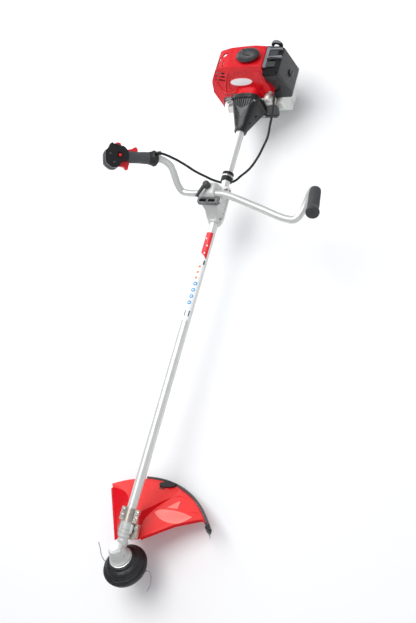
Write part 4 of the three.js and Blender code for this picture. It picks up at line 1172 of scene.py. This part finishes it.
# ---------------------------------------------------------------- engine cover
SLANT = math.radians(22)
CLUTCH_HOLE_RADIUS = 36
INTAKE_X = 74
INTAKE_Z = 8
FRONT = TOOL @ Matrix.Translation((0, 1506, 20)) @ Matrix((
    (1, 0, 0, 0),
    (0, math.sin(SLANT), -math.cos(SLANT), 0),
    (0, math.cos(SLANT), math.sin(SLANT), 0),
    (0, 0, 0, 1),
))
FRONT_MM = TOOL.inverted() @ FRONT
FOLD_POINT = Vector((-77, 1512, 34))
FOLD_FACE = Vector((-0.194, -0.875, 0.444)).normalized()
FOLD_UP = (Vector((0, 0, 1)) - FOLD_FACE * FOLD_FACE.z).normalized()
FOLD_ACROSS = FOLD_UP.cross(FOLD_FACE)
FOLD_MM = Matrix.Translation(FOLD_POINT) @ Matrix((FOLD_ACROSS, FOLD_UP, FOLD_FACE)).transposed().to_4x4()


def up_front(z):
    """The distance up the slanted front for a height z."""
    return (z - 20) / math.cos(SLANT)


def on_front(outline):
    return [(x, up_front(z)) for x, z in outline]


def on_fold(outline):
    """An outline in (x, z) laid on the plane left of the front's fold."""
    out = []
    for x, z in outline:
        away = Vector((x - FOLD_POINT.x, 0, z - FOLD_POINT.z))
        away.y = -(away.x * FOLD_FACE.x + away.z * FOLD_FACE.z) / FOLD_FACE.y
        out.append((away.dot(FOLD_ACROSS), away.dot(FOLD_UP)))
    return out


def intake_room():
    """The clearance that the intake sleeve needs through the cover."""
    return rod((INTAKE_X, 1490, INTAKE_Z), (INTAKE_X, 1560, INTAKE_Z), 16, 48)


def oval(centre, half, count):
    angles = [math.radians(360 * i / count) for i in range(count)]
    return [(centre[0] + half[0] * math.cos(a), centre[1] + half[1] * math.sin(a)) for a in angles]


def front_leaf(points, radius, low, high):
    return moved(prism(rounded(on_front(points), radius), low, high), FRONT_MM)


def fold_leaf(points, radius, low, high):
    return moved(prism(rounded(on_fold(points), radius), low, high), FOLD_MM)


def cover_recesses():
    panel = front_leaf([(-62, 41), (-50, 82), (-24, 99), (28, 96), (43, 73), (24, 39)], 9, -2.2, 5)
    corner = fold_leaf([(-108, 62), (-75, 57), (-79, 36), (-94, 39)], 3, -2.0, 5)
    louvre_field = fold_leaf([(-113, 64), (-106, 98), (-60, 99), (-70, 64)], 4, -1.0, 5)
    cap_seat = prism(oval((25, 1580), (46, 29), 64), 112.2, 130)
    return [panel, corner, louvre_field, cap_seat]


def cover_vents():
    side_vents = [prism(rounded([(1548, z), (1590, z), (1590, z + 7), (1548, z + 7)], 3), -160, -120, "x")
                  for z in (-4, 14, 32)]
    front_vents = [fold_leaf([(a, z - 2.6), (b, z - 3.4), (b, z + 2.4), (a, z + 2.2)], 2, -9, 9)
                   for a, b, z in ((-103, -65, 92), (-107, -67, 81), (-110, -71, 70))]
    top_vents = [prism(rounded(points, 3), 70, 140) for points in (
        [(-98, 1556), (-91, 1554), (-86, 1590), (-93, 1594)],
        [(-84, 1592), (-66, 1596), (-60, 1607), (-78, 1606)],
        [(-70, 1554), (-67, 1554), (-69, 1580), (-73, 1580)],
    )]
    return [*side_vents, *front_vents, *top_vents]


def make_cover():
    outline = [(-124, -52), (-132, -30), (-135, 5), (-128, 62), (-98, 104), (-50, 115), (36, 115), (76, 106),
               (76, -4), (40, -6), (-40, 2), (-60, 16), (-94, 16), (-110, -28)]
    inside = [(-119, -70), (-128, -30), (-131, 5), (-124, 60), (-96, 100), (-50, 111), (36, 111), (72, 102),
              (72, -60), (-80, -100)]
    shell = prism(rounded(outline, 9), COVER_FRONT, COVER_REAR, "y")
    ahead = moved(box((-200, -60, 0), (200, 200, 100)), FRONT_MM)
    hollow_front = moved(box((-200, -60, -4), (200, 200, 100)), FRONT_MM)
    side_edges = [moved(box((-200, -200, -200), (0, 200, 200)),
                        Matrix.Translation((-114 + inset, COVER_FRONT, 0))
                        @ Matrix.Rotation(math.radians(45), 4, "Z")) for inset in (0, 5.6)]
    folds = [moved(box((-200, -200, depth), (60, 200, 100)), FOLD_MM) for depth in (0, -4)]
    hollow = cut(prism(rounded(inside, 8), COVER_FRONT + 4, COVER_REAR + 20, "y"), hollow_front,
                 side_edges[1], folds[1])
    clutch_hole = rod((0, 1490, 0), (0, 1530, 0), CLUTCH_HOLE_RADIUS, 64)
    below = box((-60, 1490, -120), (120, 1530, 2))
    tank_room = box((-114, 1490, -160), (120, 1530, -38))
    body = cut(shell, ahead, side_edges[0], folds[0], hollow, clutch_hole, below, tank_room, intake_room(),
               *cover_recesses(), *cover_vents())
    piece("cover", body, "frame", RED, stands_for=["engine_cover"], bevel=1.8, sharp=24)


def make_cover_lobe():
    lobe = [(58, 66), (78, 58), (94, 26), (92, 8), (78, 2), (52, 4), (44, 30)]
    ahead = moved(box((-200, -60, 1.2), (200, 200, 100)), FRONT_MM)
    body = cut(prism(rounded(lobe, 5), 1499, 1534, "y"), intake_room(), ahead)
    piece("cover_lobe", body, "frame", RED, bevel=1.6)


def make_cover_collar():
    collar = prism([(x * 0.88, z * 0.88) for x, z in ARCH if z > -8], 1490, 1524, "y")
    collar = cut(collar, box((-60, 1480, -60), (60, 1530, 2)),
                 rod((0, 1480, 0), (0, 1530, 0), CLUTCH_HOLE_RADIUS, 64))
    piece("cover_collar", collar, "frame", RED, bevel=2.0)


def make_cover_trims():
    lip = [(-86, 33, -0.6), (-76, 31, 1.2), (-62, 31, 1.4), (-48, 32, 1.2), (-38, 34, -1.5)]
    edge = [(-43, 102, 0.2), (-58, 84, 0.8), (-68, 62, 0.8), (-76, 40, 0.4), (-79, 33, 0.2)]
    trims = [
        sweep(smooth_path([(x, up_front(z), d) for x, z, d in lip], 50), 3.0, 16),
        sweep(smooth_path([(x, up_front(z), d) for x, z, d in edge], 40), 1.3, 14),
        prism(rounded(on_front([(47, 97), (68, 95), (71, 52), (50, 36), (36, 41), (48, 70)]), 4), -1, 1.6),
        prism(rounded(on_front([(44, 39), (57, 41), (61, 52)]), 1), 0, 3.6),
    ]
    piece("cover_trims", moved(together(*trims), FRONT_MM), "frame", RED, bevel=0.8)


def make_badge():
    centre = (-11, up_front(64))
    rim = prism(oval(centre, (42, 15), 72), -2.3, -0.9)
    piece("badge_rim", rim, "frame", BADGE_RIM, FRONT, bevel=0.4)
    plate = prism(oval(centre, (40, 13), 72), -2.0, -0.5)
    piece("badge_plate", plate, "frame", WHITE_FILM, FRONT, bevel=0.2)


def make_plug_cap():
    profile = [(0, -9), (24, -8.6), (38, -4), (41, -1.6), (41.4, 0.4), (40.4, 3), (37, 6.4), (31, 9.6),
               (23, 12.2), (12, 13.8), (0, 14.2)]
    dome = moved(turned(profile, 80),
                 Matrix.Translation((24, 1580, 124.3)) @ Matrix.Diagonal((1, 0.64, 1, 1)))
    piece("plug_cap", dome, "frame", CAP_GREY, stands_for=["spark_plug_cap"], bevel=0.4)
    path = smooth_path([(9, 1591, 135.6), (14, 1579, 140), (25, 1571, 139), (36, 1569, 135.4),
                        (46, 1567, 130)], 34)
    lip = sweep(path, lambda share: 5.4 - 3.0 * share, 20)
    piece("plug_cap_lip", lip, "frame", CAP_GREY)


make_cover()
make_cover_lobe()
make_cover_collar()
make_cover_trims()
make_badge()
make_plug_cap()


# ---------------------------------------------------------------- air filter cover
def make_air_filter():
    outline = [(79, 104), (118, 101), (131, 90), (144, -14), (138, -29), (79, -29)]
    body = prism(rounded(outline, 5), 1524, COVER_REAR, "y")
    inside = prism([(70, 89), (114, 88), (126, 82), (138, -12), (134, -23), (70, -23)], 1532,
                   COVER_REAR - 8, "y")
    undercut = box((70, 1515, 95), (150, 1546, 115))
    dish = rod((86, 1510, 34), (86, 1527.4, 34), 33, 72)
    bulb_room = rod((126, COVER_REAR - 5, -6), (126, COVER_REAR + 5, -6), 11.6, 40)
    slot = box((92, 1567, 96), (140, 1575, 110))
    body = cut(body, inside, undercut, dish, bulb_room, slot)
    piece("filter_box", body, "frame", CHARCOAL, stands_for=["air_filter_cover"], bevel=2.2,
          segments=4, sharp=24)
    side = [(119, 101.6), (131.8, 90.6), (144.8, -14), (138.6, -29.6), (128, -29.6), (132, -14), (121, 86),
            (110, 96)]
    flank = cut(prism(rounded(side, 3), 1529, COVER_REAR - 1, "y"),
                box((70, 1515, 95.4), (150, 1546.4, 115)),
                rod((126, COVER_REAR - 7, -6), (126, COVER_REAR + 5, -6), 12.4, 40))
    piece("filter_side", flank, "frame", GLOSS_BLACK, bevel=1.8)
    # Painted shadow: a near-black block inside the gap under the lid's slot.
    gap = box((92.4, 1567.4, 94), (125, 1574.6, 98))
    piece("filter_gap_shadow", gap, "frame", PAINTED_SHADOW)
    band = prism(rounded([(78, 82), (128, 82), (129.6, 92), (124, 97), (78, 97)], 3), 1522.6, 1547.4, "y")
    piece("filter_band", band, "frame", INK_BLACK, bevel=1.4)
    strip = prism(rounded([(77.2, 1548), (89, 1549), (89, 1620), (77.2, 1620)], 2), 100, 105.6)
    front_strip = prism(rounded([(77.2, 97.6), (89, 97.6), (88, 104), (77.2, 105.6)], 1.5), 1544, 1551, "y")
    piece("filter_strip", together(strip, front_strip), "frame", PALE_GREY, bevel=1.0)
    bar = prism(rounded([(88, 1577), (136, 1577), (136, 1585), (88, 1585)], 3), 97, 104.8)
    lip = prism(rounded([(84, 1610), (132, 1608), (132, 1614), (84, 1616)], 2), 97, 105.4)
    piece("filter_bars", together(bar, lip), "frame", PALE_GREY, bevel=1.4)
    # A ring at the rim of the front dish. Its gloss black is painted shadow for the dark recess.
    ring = turned([(27.6, 0), (30, 0), (30.8, 0.8), (30, 1.6), (28, 1.6)], 72)
    ring = cut(ring, box((-60, -40, -5), (-7, 40, 5)))
    piece("filter_ring_shadow", moved(ring, facing((86, 1527.2, 34), (0, -1, 0))), "frame", GLOSS_BLACK)
    knob = moved(turned([(0, 0), (11, 0), (12, 1), (12, 3), (10.6, 4.2), (0, 4.6)], 40),
                 facing((141.6, 1578, 25), (1, 0, 0.16)))
    bar = moved(prism(rounded([(-9, -2.2), (9, -2.2), (9, 2.2), (-9, 2.2)], 1.5), 4, 7),
                facing((141.6, 1578, 25), (1, 0, 0.16)))
    piece("filter_knob", together(knob, bar), "frame", COOL_GREY, bevel=0.5)

    pivot = turned([(0, 103), (6, 103), (6, 108), (5, 109.4), (0, 109.4)], 36, centre=(100, 1572, 0))
    arm = prism(rounded([(88, 1569.5), (100, 1567), (120, 1568.5), (121, 1574.6), (100, 1577), (88, 1574.6)],
                        2.4), 105.3, 109)
    piece("choke", join(pivot, arm), "choke_lever", BLACK, stands_for=["choke_lever"],
          bevel=0.6)
    bulb = turned([(0, 0), (11, 0), (11.2, 0.8), (11, 2.6), (9.6, 3.2), (9.2, 6), (8, 9), (5.6, 11.4),
                   (3, 12.4), (0, 12.6)], 48)
    piece("primer", moved(bulb, facing((126, COVER_REAR + GAP, -6), (0, 1, 0))), "primer_bulb",
          TANK_WHITE, stands_for=["primer_bulb"])


make_air_filter()


# ---------------------------------------------------------------- tank, starter and small engine parts
def make_tank():
    outline = [(-124, TANK_BASE), (88, TANK_BASE), (99, -130), (103, -70), (98, -34), (84, -34), (60, -62),
               (-52, -62), (-76, -42), (-108, -42), (-120, -80), (-128, -130)]
    body = prism(rounded(outline, 10), 1508, 1622, "y")
    slope = moved(box((-200, -100, -100), (200, 0, 0)),
                  Matrix.Translation((0, 1508, -78)) @ Matrix.Rotation(math.radians(36), 4, "X"))
    seam = cut(box((-150, 1560, -170), (150, 1563, 0)),
               prism(rounded([(-122.5, -153.5), (86.6, -153.5), (97.4, -129.6), (101.4, -70), (97, -35.6),
                              (-119, -80), (-126.5, -130)], 10), 1550, 1570, "y"))
    neck = turned([(0, -110), (13, -110), (13, -135), (0, -135)], 48)
    neck = moved(neck, Matrix.Translation((0, 1590, -110)) @ Matrix.Rotation(math.radians(90), 4, "Y"))
    piece("tank", cut(body, slope, seam), "frame", TANK_WHITE, stands_for=["fuel_tank"], bevel=3.0,
          segments=5)
    piece("tank_neck", neck, "frame", TANK_WHITE, bevel=0.6)

    cap = turned([(13.7, 0), (17, 0), (17, 13), (15.8, 14.6), (0, 15), (0, 6), (13.7, 6)], 60)
    grooves = ring_of(20, lambda: rod((17.6, 0, 1), (17.6, 0, 16), 1.3, 10))
    grip = prism(rounded([(-14, -4), (14, -4), (14, 4), (-14, 4)], 3), 13, 19)
    body = together(cut(cap, *grooves), grip)
    piece("tank_cap", moved(body, facing((-129, 1590, -110), (-1, 0, 0), 90)), "fuel_cap", BLACK,
          stands_for=["fuel_cap"], bevel=0.4)


def make_starter():
    outline = [(-92, -34), (-100, 0), (-84, 26), (-40, 36), (40, 36), (66, 30), (76, 0), (70, -34)]
    body = prism(rounded(outline, 10), COVER_REAR + GAP, RECOIL_REAR, "y")
    guide = prism(rounded([(62, 14), (106, 16), (106, 50), (100, 56), (80, 56), (62, 40)], 5),
                  COVER_REAR + 8, 1654, "y")
    cavity = rod((0, 1600, 0), (0, RECOIL_REAR - 6, 0), 33, 64)
    slots = []
    for k in range(14):
        angle = 2 * math.pi * k / 14
        way = Vector((math.sin(angle), 0, math.cos(angle)))
        start, end = way * 12, way * 27
        slots.append(rod(start + Vector((0, RECOIL_REAR - 3, 0)), end + Vector((0, RECOIL_REAR - 3, 0)),
                         2.2, 10))
    grooves = [box((-84, RECOIL_REAR - 2, z), (-40, RECOIL_REAR + 2, z + 3)) for z in (-22, -12, -2, 8)]
    piece("starter_body", cut(join(body, guide), cavity, *slots, *grooves), "frame", BLACK,
          stands_for=["recoil_cover"], bevel=2.4, sharp=24)
    hub = turned([(0, RECOIL_REAR - 4), (9, RECOIL_REAR - 4), (9, RECOIL_REAR + 0.6),
                  (7.6, RECOIL_REAR + 1.6), (0, RECOIL_REAR + 1.8)], 40, "y")
    piece("starter_hub", hub, "frame", CHARCOAL, bevel=0.3)
    screws = [bolt_at(2.8, 2.4, (x, RECOIL_REAR, z), (0, 1, 0))
              for x, z in ((-70, 16), (58, 20), (58, -24), (-76, -24))]
    piece("starter_screws", together(*screws), "frame", STEEL)
    grip = smooth_path([(85, 1640, 91), (93, 1642, 98), (103, 1642, 97.5), (112, 1641, 89), (109, 1640, 75),
                        (94, 1640, 64)], 60)
    piece("pull", sweep(grip, lambda share: 6.4 - 1.0 * abs(2 * share - 1) ** 4, 28), "starter_grip", BLACK,
          stands_for=["starter_grip"])
    cap = [p + Vector((0, 0.6, 2.0)) for p in grip[2:34]]
    piece("pull_top", sweep(cap, lambda share: 5.8 - 1.2 * abs(2 * share - 1) ** 3, 24), "starter_grip",
          PALE_GREY)
    rope = sweep([Vector((94, 1640, 54 + 0.4 * k)) for k in range(31)], 1.5, 14)
    made = mesh_object("pull_rope", rope, RUBBER)
    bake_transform(made)


def make_engine_core():
    sleeve = turned([(0, 1482.6), (6, 1483.2), (10.6, 1485.2), (13.6, 1488), (15, 1492), (15, 1500),
                     (14, 1502), (14, 1520), (0, 1520)], 56, "y", (INTAKE_X, 0, INTAKE_Z))
    piece("intake_sleeve", sleeve, "frame", BRONZE, bevel=0.6)
    shell = rod((74, 1486, -14), (74, 1512, -14), 17, 56)
    piece("intake_elbow", shell, "frame", BRONZE, bevel=2.5)
    bolt = bolt_at(4.6, 5, (88, 1503, 30), (0, -1, 0))
    piece("cover_bolt", bolt, "frame", STEEL)
    stand = prism(rounded([(20, -66), (87, -72), (95, -38), (90, -13), (78, -8), (58, -20), (40, -22),
                           (26, -44)], 4),
                  1480, 1490, "y")
    hole = rod((51, 1470, -57), (51, 1500, -57), 5, 32)
    lower = turned([(0, 1478), (66, 1478), (66, 1492), (0, 1492)], 64, "y")
    piece("stand", cut(stand, hole, lower), "frame", STAND_GREY, bevel=1.2)
    foot = prism(rounded([(22, -72), (80, -76), (84, -66), (22, -63)], 3), 1478, 1498, "y")
    piece("stand_foot", cut(foot, hole, lower), "frame", STAND_GREY, bevel=1.2)
    plate = prism(rounded([(-100, 20), (-56, 22), (-50, -8), (-62, -50), (-96, -46), (-106, -22)], 6), 1512,
                  1517, "y")
    piece("heat_shield", plate, "frame", SHIELD, bevel=1.0)
    ribs = [prism(rounded([(-98, z), (-60, z + 2), (-60, z + 6), (-98, z + 4)], 1.5), 1509.4, 1513, "y")
            for z in (-38, -26, -14, -2, 10)]
    piece("shield_ribs", together(*ribs), "frame", SHIELD, bevel=0.8)


make_tank()
make_starter()
make_engine_core()


# ---------------------------------------------------------------- inner parts that the CAD shows as they are
def finish_nodes():
    kept = {
        "bevel_gear": DARK_STEEL, "output_shaft": STEEL, "output_bearing": STEEL, "head_spring": STEEL,
        "drive_shaft": STEEL, "pinion_gear": DARK_STEEL, "pinion_bearing": STEEL, "shaft_bush": RUBBER,
        "clutch_drum": STEEL, "clutch_rotor": DARK_STEEL, "crankcase": CASTING, "crankshaft": STEEL,
        "muffler": DARK_STEEL, "carburettor": BRIGHT_CASTING, "throttle_cam": STEEL,
        "starter_pulley": CHARCOAL,
    }
    for name, material in kept.items():
        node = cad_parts[name]
        node.data.materials.clear()
        node.data.materials.append(material)
        rounding = node.modifiers.new("rounding", "BEVEL")
        rounding.width = 0.35 * MM
        rounding.segments = 2
        rounding.limit_method = "ANGLE"
        rounding.angle_limit = math.radians(40)


finish_nodes()
